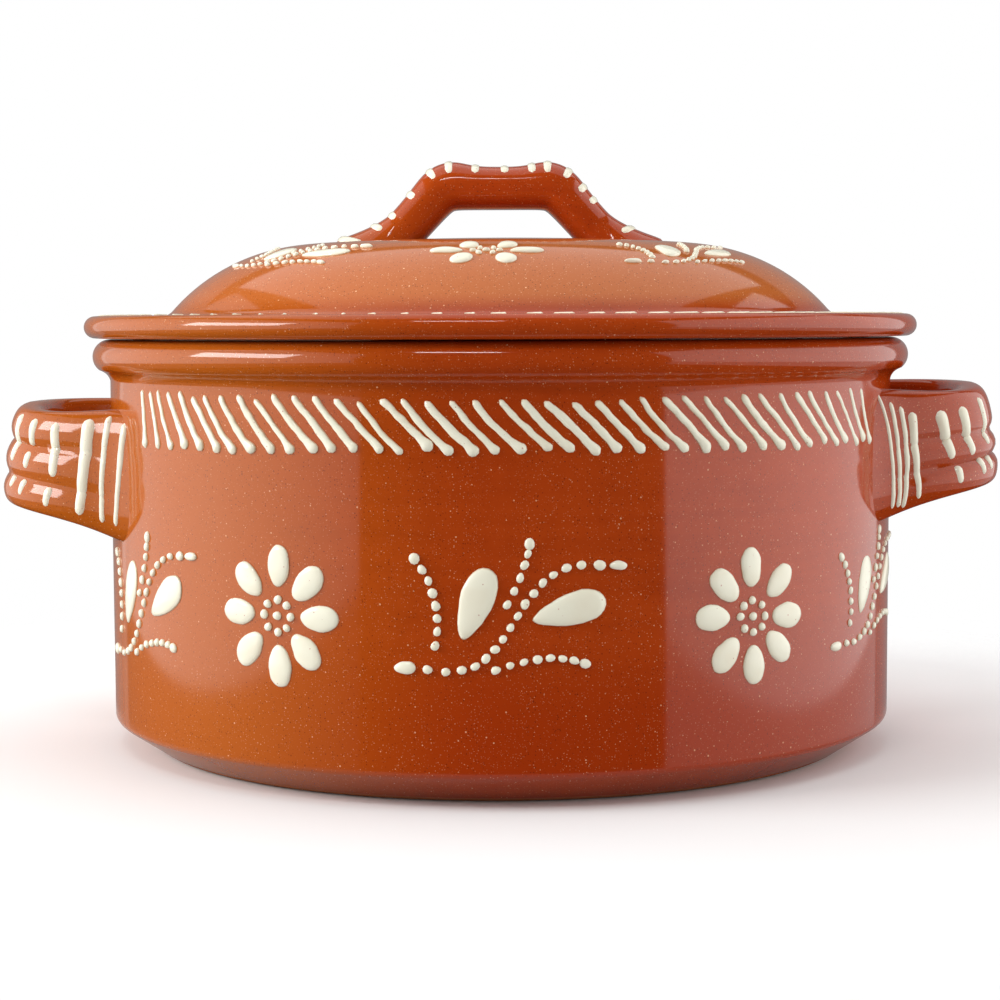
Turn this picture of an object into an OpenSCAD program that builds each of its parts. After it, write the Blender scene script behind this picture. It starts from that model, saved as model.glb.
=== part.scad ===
// A lidded clay cooking pot: thrown pot and lid, pulled handles, and white slip trailed on in relief.
// Millimetres, +Z up. The origin is the centre of the foot, on the table, and -Y is the front.

/* [Pot] */
// Outer diameter of the wall
pot_d = 230; // [190:1:300]
// Height from the table to the top of the rim
pot_h = 119; // [105:1:160]
// Thickness of the wall
wall_t = 8; // [5:0.5:10]
// Thickness of the floor
floor_t = 8; // [5:0.5:12]
// Width of the bevel between the foot and the wall
bevel_w = 13; // [6:0.5:18]
// Height of the bevel between the foot and the wall
bevel_h = 9.5; // [6:0.5:14]
// Radius of the rolled rim's section
rim_r = 5; // [4:0.5:7]
// Height of the rim with the cove under it, in radii of its section
rim_fall = 2.4; // [2:0.1:3]
// Radius of the fillet between the floor and the wall inside
floor_fillet = 14; // [8:1:20]

/* [Lid] */
// How far the lid's edge stands out beyond the rim
lid_overhang = 2.4; // [0:0.2:6]
// Thickness of the lid's flange
flange_t = 6.4; // [4:0.2:8]
// Width of the flange from its edge to the dome
flange_w = 24.4; // [20:0.2:30]
// Steepness of the dome where it meets the flange, in degrees
dome_slope = 51; // [40:1:60]
// Radius of the dome's shoulder
shoulder_r = 56; // [45:1:65]
// Radius of the flatter crown inside the shoulder
crown_r = 1000; // [600:50:2000]
// Thickness of the dome
lid_t = 6; // [4:0.5:8]
// Depth of the ring that keeps the lid centred in the mouth
ring_depth = 8; // [5:0.5:14]
// Thickness of the ring
ring_t = 6; // [4:0.5:8]
// Clearance between the ring and the mouth
ring_gap = 1.5; // [0.5:0.1:3]
// Clearance between the flange and the rim that it lies on
seat_gap = 0.3; // [0.1:0.1:0.6]

/* [Side handles] */
// How far the loops stand out from the wall
loop_reach = 32; // [28:0.5:45]
// Width of a loop between the middles of its two ends
loop_w = 76; // [60:1:88]
// Squareness of the loop, where 2 is an ellipse
loop_square = 2.6; // [2:0.1:3.4]
// Thickness of the strap
strap_t = 10.5; // [8:0.5:13]
// Height of the strap at the outside of the loop
strap_h = 28; // [22:0.5:34]
// Height of the strap where it is pressed onto the wall
root_h = 40; // [34:0.5:46]
// Depth of the two grooves between the strap's ridges
groove_depth = 1.8; // [0.6:0.1:3]
// Drop from the rim's top to the middle of the left strap
loop_drop = 32.5; // [32:0.5:42]
// How much lower the strap's middle is at the wall
root_drop = 7; // [2:0.5:9]
// How much further out the strap's lower edge leans than its middle
strap_lean = 2.1; // [0:0.1:3]
// How much higher the right loop sits than the left one
right_raise = 5; // [0:0.5:6]
// How much lower the straps hang at the front of their loops
front_dip = 2.8; // [0:0.2:4]

/* [Lid handle] */
// Height of the grip's middle above the top of the dome
grip_h = 15.2; // [13:0.2:24]
// Distance between the grip's two bends, as a share of the dome's diameter
grip_share = 0.17; // [0.14:0.01:0.22]
// Slope of the grip's legs, in degrees
leg_slope = 47; // [40:1:60]
// Thickness of the grip
grip_t = 12.6; // [9:0.2:15]
// Width of the grip from front to back
grip_w = 24; // [16:0.5:30]
// How far each foot of the grip spreads on the dome
foot_spread = 8.5; // [6:0.5:12]

/* [Slip] */
// Height of the slip above the clay
slip_h = 0.8; // [0.4:0.1:1.4]
// Seat gap under the slip on the curved straps
slip_seat = 0.15; // [0.1:0.05:0.3]
// Angle between the five motifs on each side of the wall, in degrees
wall_step = 31; // [28:0.5:32]
// How far the front motifs of the wall are turned to the right, in degrees
wall_turn = 1.5; // [-3:0.5:3]
// Angle between the three motifs on each side of the lid, in degrees
lid_step = 50; // [46:0.5:54]
// How far the front motifs of the lid are turned to the right, in degrees
lid_turn = -5; // [-6:0.5:6]
// Distance down the dome from the crown's edge to the middle of its motifs
lid_motif_drop = 17; // [12:0.5:20]
// Share that a sprig takes of the arc between the lid's motifs
lid_motif_fill = 0.82; // [0.7:0.02:0.9]
// Height of the lid's motifs beside those of the wall, as they are drawn flatter
lid_motif_flat = 0.6; // [0.5:0.05:1]
// Diameter of a slip dot
dot_d = 2.3; // [1.6:0.1:2.8]
// Width of a sprig on the wall
sprig_w = 60; // [52:1:62]
// Length of a flower's petal
petal_l = 10.4; // [8:0.2:12]
// Width of a flower's petal
petal_w = 6.8; // [4:0.2:7.2]
// Length of a sprig's leaf
leaf_l = 18; // [14:0.5:19]
// Width of a sprig's leaf
leaf_w = 8.8; // [5:0.2:9.2]
// Height of the hatched band under the rim
hatch_h = 16.5; // [12:0.5:18]
// Distance between the strokes of the hatched band
hatch_pitch = 6.2; // [5:0.1:9]
// Width of a stroke's thick end
stroke_w = 2.8; // [1.8:0.1:3]
// Distance between the dashes on the lid's flange
dash_pitch = 8.5; // [6:0.5:14]
// Length of a dash on the lid's flange
dash_l = 7; // [5:0.5:8]
// Distance of the dashes' middles from the flange's rounded edge
dash_inset = 4; // [3.5:0.5:6]

/* [Hidden] */
$fn = 96;

terracotta = [0.66, 0.33, 0.17];
slip_white = [0.93, 0.90, 0.80];

// Pot
wall_r = pot_d / 2;
mouth_r = wall_r - wall_t;
foot_r = wall_r - bevel_w;
neck_z = pot_h - rim_fall * rim_r;
rim_outer_r = wall_r + rim_r;
foot_round = 1.5;
bevel_round = 5;
lip_round = 3;

// Lid
flange_r = rim_outer_r + lid_overhang;
flange_z = pot_h + seat_gap;
flange_top = flange_z + flange_t;
edge_r = flange_t / 2;
dome_r = flange_r - flange_w;
ring_r = mouth_r - ring_gap;
ring_in = ring_r - ring_t;
shoulder_c = dome_r - shoulder_r * sin(dome_slope);
shoulder_z = flange_top - shoulder_r * cos(dome_slope);
crown_slope = asin(shoulder_c / (crown_r - shoulder_r));
crown_z = shoulder_z - (crown_r - shoulder_r) * cos(crown_slope);
dome_top = crown_z + crown_r;

// Side handles, on a path round the loop from its front end to its back end
loop_half = loop_w / 2;
loop_start = sqrt(wall_r * wall_r - loop_half * loop_half) - strap_t / 2;
loop_out = wall_r + loop_reach - strap_t / 2;
loop_steps = 22;
face_steps = 17;
ridges = 3;
ridge_shift = 0.17;
edge_power = 3.5;
root_swell = 0.3;

// Lid handle, on a path from its left foot over the top to its right foot
grip_steps = 28;
grip_sides = 28;
grip_round = 0.75;
foot_sink = 14;
flare_low = 4;
flare_h = 8;
bend_x = grip_share * dome_r;
bend_soft = 1.5;
foot_x = bend_x + (grip_h + foot_sink) / tan(leg_slope);
hump_x = bend_x - 2;
hump_w = 6;
hump_h = 1.7;

// Slip
band_gap = 1.2;
hatch_mid = neck_z - band_gap - hatch_h / 2;
hatch_tilt = 43;
hatch_span = 121;
motif_z = (bevel_h + neck_z - hatch_h) / 2 + 0.4;
lid_arc = dome_at(lid_motif_drop)[0] * lid_step * PI / 180;
lid_scale = lid_motif_fill * lid_arc / sprig_w;
petal_ring = 0.205 * sprig_w;
dot_ring = 0.068 * sprig_w;
wall_petals = 8;
lid_petals = 6;

// Places of the motifs on each side of the wall: steps from its middle, lean, and drop beside a sprig's width.
// The sprigs beside the handles stay below their ends.
front_flowers = [[-1.02, 0, 0.035], [1.07, 0, 0.055]];
back_flowers = [[-1, 0, 0], [1, 0, 0]];
front_sprigs = [[-1.97, 0.2, 0.033], [0, 0, 0], [2.06, 0.08, 0.05]];
back_sprigs = [[-2, 0.2, 0.033], [0, 0, 0], [2, -0.2, 0.033]];

function unit(v) = v / norm(v);
function mix(a, b, t) = a + (b - a) * t;
function degrees(length, radius) = length / radius * 180 / PI;
function flat(lists) = [for (list = lists) for (item = list) item];
function signed_power(v, e) = sign(v) * pow(abs(v), e);

// Point at t on the curve that the control points p draw
function bezier(p, t) =
    len(p) == 1 ? p[0] : bezier([for (i = [0 : len(p) - 2]) mix(p[i], p[i + 1], t)], t);

// Points of an arc between two angles
function arc(c, r, from, to, steps) =
    [for (i = [0 : steps]) let (a = mix(from, to, i / steps)) c + r * [cos(a), sin(a)]];

// Points that round the corner b between a and c
function corner(a, b, c, cut, steps = 6) =
    let (p = [b + cut * unit(a - b), b, b + cut * unit(c - b)])
    [for (i = [0 : steps]) bezier(p, i / steps)];

// Outline of an egg that lies along X with its thick end at +X
function egg(length, width, taper, sides) =
    [for (i = [0 : sides - 1])
        let (a = 360 * i / sides)
        [length / 2 * cos(a), width / 2 * sin(a) * (1 + taper * cos(a))]];

// Outside of the rim, from the wall up a cove and round the roll
function rim_line() =
    let (
        roll = arc([wall_r, pot_h - rim_r], rim_r, -50, 90, 15),
        bend = [wall_r + 0.1 * rim_r, mix(neck_z, roll[0][1], 0.7)]
    )
    concat([for (i = [0 : 4]) bezier([[wall_r, neck_z], bend, roll[0]], i / 5)], roll);

// Section of the pot from the axis round the outside to the inside of the floor
function pot_section() = concat(
    [[0, 0]],
    corner([0, 0], [foot_r, 0], [wall_r, bevel_h], foot_round),
    corner([foot_r, 0], [wall_r, bevel_h], [wall_r, neck_z], bevel_round),
    rim_line(),
    corner([wall_r, pot_h], [mouth_r, pot_h], [mouth_r, floor_t], lip_round),
    arc([mouth_r - floor_fillet, floor_t + floor_fillet], floor_fillet, 0, -90, 10),
    [[0, floor_t]]
);

// Top of the dome, from the axis out to the flange, at a depth below its surface
function dome_line(depth) = concat(
    arc([0, crown_z], crown_r - depth, 90, 90 - crown_slope, 4),
    [for (i = [1 : 14])
        let (a = 90 - mix(crown_slope, dome_slope, i / 14))
        [shoulder_c, shoulder_z] + (shoulder_r - depth) * [cos(a), sin(a)]]
);

// Radius, height and steepness of the dome at a distance down from the crown's edge
function dome_at(s) =
    let (
        on_crown = s < 0,
        slope = crown_slope + degrees(s, on_crown ? crown_r : shoulder_r),
        c = on_crown ? [0, crown_z] : [shoulder_c, shoulder_z],
        r = on_crown ? crown_r : shoulder_r
    )
    [c[0] + r * sin(slope), c[1] + r * cos(slope), slope];

// Section of the lid from the axis over the outside to the underside of the dome
function lid_section() = concat(
    dome_line(0),
    arc([flange_r - edge_r, flange_z + edge_r], edge_r, 90, -90, 12),
    [[ring_r, flange_z]],
    corner([ring_r, flange_z], [ring_r, flange_z - ring_depth], [ring_in, flange_z - ring_depth], 1),
    [[ring_in, flange_z - ring_depth], [ring_in, flange_z]],
    let (inside = dome_line(lid_t)) [for (i = [len(inside) - 1 : -1 : 0]) inside[i]]
);

// Spot of a motif on the wall, from the middle of its side
function wall_spot(middle, place) = [middle + place[0] * wall_step, place[1], place[2]];

// Middle of the strap in plan
function loop_at(u) =
    let (e = 2 / loop_square)
    [mix(loop_start, loop_out, pow(sin(180 * u), e)), -loop_half * signed_power(cos(180 * u), e)];

// Direction away from the middle of the loop, in plan
function loop_normal(u) =
    let (along = unit(loop_at(min(u + 0.002, 1)) - loop_at(max(u - 0.002, 0))))
    [along[1], -along[0]];

// 1 where the strap is pressed onto the wall, 0 at the outside of the loop
function loop_flare(u) = pow(1 - pow(sin(180 * u), 2 / loop_square), 2);

// Point of the strap: w runs up its height from -1 to 1, face is 1 outside and -1 inside
function strap_point(u, w, face, grow = 0) =
    let (
        p = loop_at(u),
        n = loop_normal(u),
        flare = loop_flare(u),
        half = mix(strap_h, root_h, flare) / 2,
        rise = sin(90 * w),
        edge = pow(1 - pow(abs(rise), edge_power), 1 / edge_power),
        ridge = 1 - abs(cos(90 * ridges * (rise + ridge_shift * (1 - rise * rise)))),
        groove = face > 0 ? groove_depth * (1 - flare) * ridge * edge : 0,
        lean = -strap_lean * (1 - flare) * rise,
        dip = front_dip * max(0, cos(180 * u)) * pow(sin(180 * u), 0.23) * (1 - flare),
        out = face * strap_t / 2 * (1 + root_swell * flare) * edge - groove + lean + grow
    )
    [p[0] + n[0] * out, p[1] + n[1] * out, pot_h - loop_drop - root_drop * flare - dip + half * rise];

// Height of a row of the strap's points, from -1 to 1
function strap_row(i) = mix(-1, 1, (i + 0.5) / (face_steps + 1));

function strap_ring(u) = concat(
    [for (i = [0 : face_steps]) strap_point(u, strap_row(i), 1)],
    [for (i = [face_steps : -1 : 0]) strap_point(u, strap_row(i), -1)]
);

// Point above the strap's outer face, on a row and between two of its rings
function over_strap(u, i, grow) =
    let (k = min(floor(u * loop_steps), loop_steps - 1), t = u * loop_steps - k)
    mix(
        strap_point(k / loop_steps, strap_row(i), 1, grow),
        strap_point((k + 1) / loop_steps, strap_row(i), 1, grow),
        t
    );

// Middle of the grip in the plane of its bow, above the top of the dome
function grip_at(u) =
    let (x = mix(-foot_x, foot_x, u), past_bend = (abs(x) - bend_x) / bend_soft)
    [x, grip_h - tan(leg_slope) * bend_soft * ln(1 + exp(past_bend))];

function grip_normal(u) =
    let (along = unit(grip_at(min(u + 0.002, 1)) - grip_at(max(u - 0.002, 0))))
    [-along[1], along[0]];

// Point of the grip: v turns from the front over the upper side to the back and the underside
function grip_point(u, v, grow = 0) =
    let (
        p = grip_at(u),
        n = grip_normal(u),
        flare = pow(max(0, min(1, 1 - (p[1] + flare_low) / flare_h)), 2),
        out = signed_power(sin(v), grip_round),
        side = signed_power(cos(v), grip_round),
        spread = foot_spread * flare * max(0, out) * (u < 0.5 ? -1 : 1),
        hump = exp(-pow((abs(p[0]) - hump_x) / hump_w, 2)),
        thick = grip_t / 2 + hump_h * hump * max(0, out) + grow,
        wide = grip_w / 2 + 0.4 * foot_spread * flare + grow
    )
    [p[0] + n[0] * thick * out + spread, -wide * side, dome_top + p[1] + n[1] * thick * out];

function grip_ring(u) = [for (i = [0 : grip_sides - 1]) grip_point(u, 360 * (i + 0.5) / grip_sides)];

// Point above the grip between two of its rings
function over_grip(u, v, grow) =
    let (k = min(floor(u * grip_steps), grip_steps - 1), t = u * grip_steps - k)
    mix(grip_point(k / grip_steps, v, grow), grip_point((k + 1) / grip_steps, v, grow), t);

// Solid through a row of closed rings. Each ring has an even number of points, there and back.
module loft(rings) {
    n = len(rings[0]);
    last = (len(rings) - 1) * n;
    sides = [
        for (i = [0 : len(rings) - 2]) for (j = [0 : n - 1])
            let (a = i * n + j, b = i * n + (j + 1) % n)
            each [[a, a + n, b], [b, a + n, b + n]]
    ];
    caps = [
        for (j = [0 : n / 2 - 2])
            let (a = j, b = j + 1, c = n - 2 - j, d = n - 1 - j)
            each [[a, b, d], [b, c, d], [last + a, last + d, last + b], [last + b, last + d, last + c]]
    ];
    polyhedron(points = flat(rings), faces = concat(sides, caps), convexity = 8);
}

module strap() {
    loft([for (i = [0 : loop_steps]) strap_ring(i / loop_steps)]);
}

module wall_core() {
    cylinder(r = wall_r, h = pot_h);
}

module dome_core() {
    rotate_extrude() polygon(concat(dome_line(0), [[dome_r, flange_z], [0, flange_z]]));
}

// Raised patch on the outer face of a strap, round u and between two rows. It bends where it crosses a ring.
module strap_patch(u, half_u, first, last) {
    ring = round(u * loop_steps) / loop_steps;
    bend = abs(ring - u) < half_u ? ring : u;
    loft([for (place = [u - half_u, bend, u + half_u]) concat(
        [for (k = [first : last]) over_strap(place, k, slip_seat + slip_h)],
        [for (k = [last : -1 : first]) over_strap(place, k, slip_seat)]
    )]);
}

// Long stripes near each end of the strap, given with their half widths, and short strokes on each ridge.
// The strokes of the lower ridges sit further round the loop.
module strap_slip(stripes, columns) {
    strokes = [[3, 5, 0.016], [7, 9, 0.002], [11, 14, -0.012]];
    for (end = [0, 1]) {
        for (stripe = stripes) strap_patch(abs(end - stripe[0]), stripe[1], 2, 14);
        for (u = columns) for (rows = strokes) strap_patch(abs(end - u - rows[2]), 0.013, rows[0], rows[1]);
    }
}

// Flat dab of slip
module dab(outline) {
    linear_extrude(height = slip_h) polygon(outline);
}

module dot(size = 1) {
    cylinder(d = dot_d * size, h = slip_h, $fn = 16);
}

// Puts slip on the wall at an angle from the front, with x along it and z up
module on_wall(angle, x, z) {
    rotate([0, 0, angle + degrees(x, wall_r)]) translate([0, -wall_r, z]) rotate([90, 0, 0]) children();
}

// Puts slip on the dome at an angle from the front, with x along it and y up it
module on_dome(angle, x, y) {
    middle = dome_at(lid_motif_drop);
    place = dome_at(lid_motif_drop - y);
    rotate([0, 0, angle + degrees(x, middle[0])])
        translate([0, -place[0], place[1]]) rotate([place[2], 0, 0]) children();
}

// Puts slip at x, y from a spot, which is an angle from the front, a lean, and a drop beside a sprig's width
module on(surface, spot, x, y) {
    level = y + spot[1] * x - spot[2] * sprig_w;
    if (surface == "wall") on_wall(spot[0], x, motif_z + level) children();
    else on_dome(spot[0], lid_scale * x, lid_motif_flat * lid_scale * level)
        scale([lid_scale, lid_motif_flat * lid_scale, lid_scale]) children();
}

module flower(surface, spot, petals) {
    for (i = [0 : petals - 1]) {
        a = 360 * i / petals;
        on(surface, spot, petal_ring * cos(a), petal_ring * sin(a))
            rotate(a) dab(egg(petal_l, petal_w, 0.2, 16));
        on(surface, spot, dot_ring * cos(a), dot_ring * sin(a)) dot(0.9);
    }
    on(surface, spot, 0, 0) dot(1.1);
}

// Row of dots along a curve, with the first one larger. The curve is in shares of the sprig's width.
module stem(surface, spot, curve, dots) {
    for (i = [0 : dots - 1]) {
        p = sprig_w * bezier(curve, i / (dots - 1));
        on(surface, spot, p[0], p[1]) dot(i == 0 ? 1.25 : 1);
    }
}

// Egg-shaped dab of a sprig, at a place in shares of its width
module leaf(surface, spot, place, turn, length, width, taper) {
    on(surface, spot, sprig_w * place[0], sprig_w * place[1])
        rotate(turn) dab(egg(length, width, taper, 20));
}

module sprig(surface, spot) {
    stem(surface, spot, [[-0.405, 0.21], [-0.278, 0.055], [-0.317, -0.155]], 8);
    stem(surface, spot, [[0.09, 0.283], [0.083, 0.173], [0.003, 0.067]], 5);
    stem(surface, spot, [[0.383, 0.187], [0.033, 0.267], [0.1, -0.333], [-0.367, -0.253]], 17);
    stem(surface, spot, [[0.317, -0.228], [0.143, -0.165], [-0.017, -0.248]], 7);
    leaf(surface, spot, [-0.132, 0.013], 70, leaf_l, leaf_w, 0.4);
    leaf(surface, spot, [0.25, -0.007], 15, leaf_l, leaf_w, 0.4);
    leaf(surface, spot, [0.46, 0.177], 0, 2.2 * dot_d, dot_d, 0);
    leaf(surface, spot, [-0.457, -0.245], 0, 2.4 * dot_d, 1.4 * dot_d, 0);
}

module pot_body() {
    color(terracotta) rotate_extrude() polygon(pot_section());
}

module right_handle() {
    color(terracotta) difference() {
        translate([0, 0, right_raise]) strap();
        wall_core();
    }
}

module left_handle() {
    color(terracotta) mirror([1, 0, 0]) difference() {
        strap();
        wall_core();
    }
}

module lid() {
    color(terracotta) rotate_extrude() polygon(lid_section());
}

module lid_handle() {
    color(terracotta) difference() {
        loft([for (i = [0 : grip_steps]) grip_ring(i / grip_steps)]);
        dome_core();
    }
}

module wall_hatching() {
    count = floor(hatch_span / degrees(hatch_pitch, wall_r));
    color(slip_white) for (side = [0, 180]) for (i = [0 : count])
        on_wall(side + wall_turn, (i - count / 2) * hatch_pitch, hatch_mid)
            rotate(-hatch_tilt) dab(egg(hatch_h / sin(hatch_tilt) - stroke_w, stroke_w, 0.25, 14));
}

module wall_flowers() {
    color(slip_white) {
        for (place = front_flowers) flower("wall", wall_spot(wall_turn, place), wall_petals);
        for (place = back_flowers) flower("wall", wall_spot(180, place), wall_petals);
    }
}

module wall_sprigs() {
    color(slip_white) {
        for (place = front_sprigs) sprig("wall", wall_spot(wall_turn, place));
        for (place = back_sprigs) sprig("wall", wall_spot(180, place));
    }
}

module left_handle_stripes() {
    color(slip_white) mirror([1, 0, 0])
        strap_slip([[0.03, 0.007], [0.052, 0.007], [0.09, 0.012]], [0.155, 0.228, 0.303]);
}

module right_handle_stripes() {
    color(slip_white) translate([0, 0, right_raise])
        strap_slip([[0.03, 0.006], [0.047, 0.006], [0.064, 0.006], [0.09, 0.009]], [0.15, 0.23, 0.3]);
}

module lid_rim_dashes() {
    radius = flange_r - edge_r - dash_inset;
    count = floor(360 / degrees(dash_pitch, radius));
    color(slip_white) for (i = [0 : count - 1])
        rotate([0, 0, 360 * i / count]) translate([0, -radius, flange_top])
            rotate(-60) dab(egg(dash_l, 0.5 * stroke_w, 0.2, 14));
}

module lid_flowers() {
    color(slip_white) for (middle = [lid_turn, 180]) flower("lid", [middle, 0, 0], lid_petals);
}

module lid_sprigs() {
    color(slip_white) for (middle = [lid_turn, 180]) for (i = [-1, 1])
        sprig("lid", [middle + i * lid_step, 0, 0]);
}

// Strokes across the upper side of the grip
module lid_handle_dashes() {
    count = 14;
    steps = 8;
    half_u = 0.009;
    color(slip_white) for (k = [0 : count - 1]) {
        middle = mix(0.16, 0.84, k / (count - 1));
        // A stroke that crosses one of the grip's rings bends there
        ring = round(middle * grip_steps) / grip_steps;
        bend = abs(ring - middle) < half_u ? ring : middle;
        loft([for (u = [middle - half_u, bend, middle + half_u]) concat(
            [for (j = [0 : steps]) over_grip(u, mix(35, 145, j / steps), slip_seat + slip_h)],
            [for (j = [steps : -1 : 0]) over_grip(u, mix(35, 145, j / steps), slip_seat)]
        )]);
    }
}

pot_body();
left_handle();
right_handle();
lid();
lid_handle();
wall_hatching();
wall_flowers();
wall_sprigs();
left_handle_stripes();
right_handle_stripes();
lid_rim_dashes();
lid_flowers();
lid_sprigs();
lid_handle_dashes();
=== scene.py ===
"""Dresses the clay cooking pot: glazed red clay with hand-made edges, and raised cream slip."""
import math
import random

import bpy
from bpy.props import FloatProperty, FloatVectorProperty, IntProperty, PointerProperty
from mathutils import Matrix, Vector


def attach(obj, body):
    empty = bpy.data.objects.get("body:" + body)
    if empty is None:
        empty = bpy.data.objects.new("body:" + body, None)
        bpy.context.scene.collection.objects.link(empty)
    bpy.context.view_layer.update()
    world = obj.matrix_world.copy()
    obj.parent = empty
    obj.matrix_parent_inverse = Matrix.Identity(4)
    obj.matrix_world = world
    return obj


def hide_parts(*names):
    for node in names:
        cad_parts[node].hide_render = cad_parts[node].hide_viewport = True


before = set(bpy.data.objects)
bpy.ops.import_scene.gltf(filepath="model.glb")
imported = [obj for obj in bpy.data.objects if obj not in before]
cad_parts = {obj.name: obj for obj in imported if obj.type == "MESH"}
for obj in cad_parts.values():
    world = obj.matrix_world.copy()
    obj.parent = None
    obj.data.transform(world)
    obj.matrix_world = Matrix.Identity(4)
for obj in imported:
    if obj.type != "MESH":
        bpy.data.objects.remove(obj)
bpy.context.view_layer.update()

bl_info = {
    "name": "Clay cooking pot",
    "version": (1, 0, 0),
    "blender": (4, 5, 0),
    "location": "View3D > Sidebar > Clay pot",
    "description": "Builds a lidded clay cooking pot with trailed slip over its packed frame",
    "category": "Object",
}

MM = 0.001
TURN = 2 * math.pi

# Share of a path, before and after a point, from which its direction is read.
NEAR = 0.002
# Edges that turn more than this stay sharp.
CREASE = math.radians(50)
# A height in metres that no piece reaches.
ABOVE_ALL = 1.0

# Flecks: cells in a metre, share of the cells that keep one, radius in cells, and strength.
PALE_FLECKS = ((560.0, 0.35, 0.09, 0.55), (1200.0, 0.5, 0.14, 0.34), (2000.0, 0.45, 0.22, 0.11))
DARK_GRIT = (1600.0, 0.4, 0.2, 0.7)
SLIP_SPECKS = (900.0, 0.15, 0.14, 0.5)

# Beads of slip: segments, rings and taper.
BEADS = {"dot": (10, 6, 0.06), "petal": (28, 8, 0.12), "leaf": (28, 8, 0.36)}
# Sides of a trail of slip.
TRAIL_SIDES = 12

# Flowers of the wall: steps from the middle, and drop in sprig widths.
WALL_FLOWERS = {
    "front": ((-1.02, 0.035), (1.07, 0.055)),
    "back": ((-1, 0), (1, 0)),
}
# Sprigs of the wall: steps from the middle, lean, drop in sprig widths, and height beside a plain sprig's.
WALL_SPRIGS = {
    "front": ((-1.97, 0.1, 0.033, 1), (-0.01, 0, -0.022, 1), (2.06, 0.08, -0.003, 0.86)),
    "back": ((-2, 0.2, 0.033, 1), (0, 0, 0, 1), (2, -0.2, 0.033, 1)),
}
# Strokes at both ends of a strap, in order from the wall: the upper tip, the lower tip and the bow.
# A tip is a place along the strap, a height on it from -1 to 1 and a radius in millimetres.
STRAP_STROKES = {
    "left": (
        ((0.0075, 0.82, 1.6), (0.021, -0.76, 0.9), 0.0),
        ((0.029, 0.91, 1.5), (0.043, -0.8, 1.0), 0.005),
        ((0.068, 0.86, 3.0), (0.091, -0.81, 1.9), 0.0),
        ((0.157, 0.8, 2.2), (0.156, -0.23, 2.0), 0.0),
        ((0.168, -0.43, 2.0), (0.176, -0.81, 1.4), 0.0),
        ((0.233, 0.84, 2.3), (0.243, 0.28, 1.5), 0.0),
        ((0.243, 0.19, 2.0), (0.25, -0.17, 1.6), 0.0),
        ((0.26, -0.39, 1.9), (0.268, -0.73, 1.4), 0.0),
        ((0.315, 0.88, 2.2), (0.322, -0.1, 1.6), 0.0),
        ((0.318, -0.34, 1.9), (0.324, -0.64, 1.4), 0.0),
    ),
    "right": (
        ((0.009, 0.98, 0.7), (0.031, -0.86, 0.9), 0.008),
        ((0.026, 0.83, 0.9), (0.042, -0.88, 1.0), 0.007),
        ((0.0435, 0.76, 1.1), (0.051, -0.92, 1.0), 0.01),
        ((0.067, 0.66, 2.0), (0.084, -0.86, 1.0), 0.0),
        ((0.135, 0.66, 2.9), (0.168, -0.29, 1.8), 0.0),
        ((0.183, -0.44, 1.9), (0.19, -0.79, 1.4), 0.0),
        ((0.207, 0.7, 2.9), (0.235, -0.29, 1.7), 0.0),
        ((0.268, -0.39, 1.9), (0.28, -0.73, 1.3), 0.0),
        ((0.3, 0.82, 1.9), (0.315, -0.18, 1.5), 0.0),
        ((0.316, -0.37, 1.8), (0.322, -0.69, 1.3), 0.0),
    ),
}
# Strokes over the grip: distances from its middle in millimetres.
GRIP_DASHES = (-34.5, -31, -27.8, -22.2, -17, -14, -7.2, 1.5, 9.6, 13.5, 16.9, 20.5, 23.7, 31.8)
# Lights: width and height in metres, then distance, angle from the front in degrees and height, then the
# height that the light faces, and its spread in degrees.
LIGHTS = {
    "left_box": ((2.4, 1.22), (0.95, -90, 0.5), 0.5, 130),
    "left_low": ((2.4, 0.3), (0.95, -90, -0.26), -0.26, 130),
    "left_key": ((0.55, 0.3), (0.93, -73, 0.46), 0.12, 180),
    "front_key": ((0.36, 0.06), (0.75, -13, 0.87), 0.12, 180),
    "right_box": ((2.0, 1.26), (0.95, 91, 0.5), 0.5, 145),
    "right_low": ((2.0, 0.3), (0.95, 91, -0.28), -0.28, 145),
    "top_box": ((1.5, 1.5), (0.35, 180, 1.15), 0.08, 180),
    "back_box": ((2.8, 1.5), (1.6, 180, 0.3), 0.3, 180),
}


def length(name, description, default_mm):
    """Property for a length, given in millimetres."""
    default = default_mm * MM
    return FloatProperty(name=name, description=description, default=default, unit="LENGTH", precision=5)


def angle(name, description, default_degrees):
    """Property for an angle, given in degrees."""
    default = math.radians(default_degrees)
    return FloatProperty(name=name, description=description, default=default, unit="ROTATION")


def number(name, description, default):
    """Property for a plain number."""
    return FloatProperty(name=name, description=description, default=default)


def colour(name, description, default):
    """Property for a linear colour."""
    return FloatVectorProperty(name=name, description=description, default=default, size=4, subtype="COLOR")


class PotSizes(bpy.types.PropertyGroup):
    """Sizes of the thrown pot."""
    wall_r: length("Wall radius", "Outer radius of the wall", 115)
    height: length("Height", "Height from the table to the top of the rim", 119)
    wall_t: length("Wall thickness", "Thickness of the wall", 8)
    floor_t: length("Floor thickness", "Thickness of the floor", 8)
    bevel_w: length("Bevel width", "Width of the bevel above the foot", 13)
    bevel_h: length("Bevel height", "Height of the bevel above the foot", 8.6)
    rim_r: length("Rim radius", "Radius of the rolled rim's section", 5)
    rim_h: length("Rim height", "Height of the rim with the cove under it", 12)
    fillet: length("Floor fillet", "Radius between the floor and the wall inside", 14)
    drift: length("Drift", "How far the thrown wall wanders from a true circle", 0.25)
    segments: IntProperty(name="Segments", description="Faces round the pot and the lid", default=240)


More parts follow.
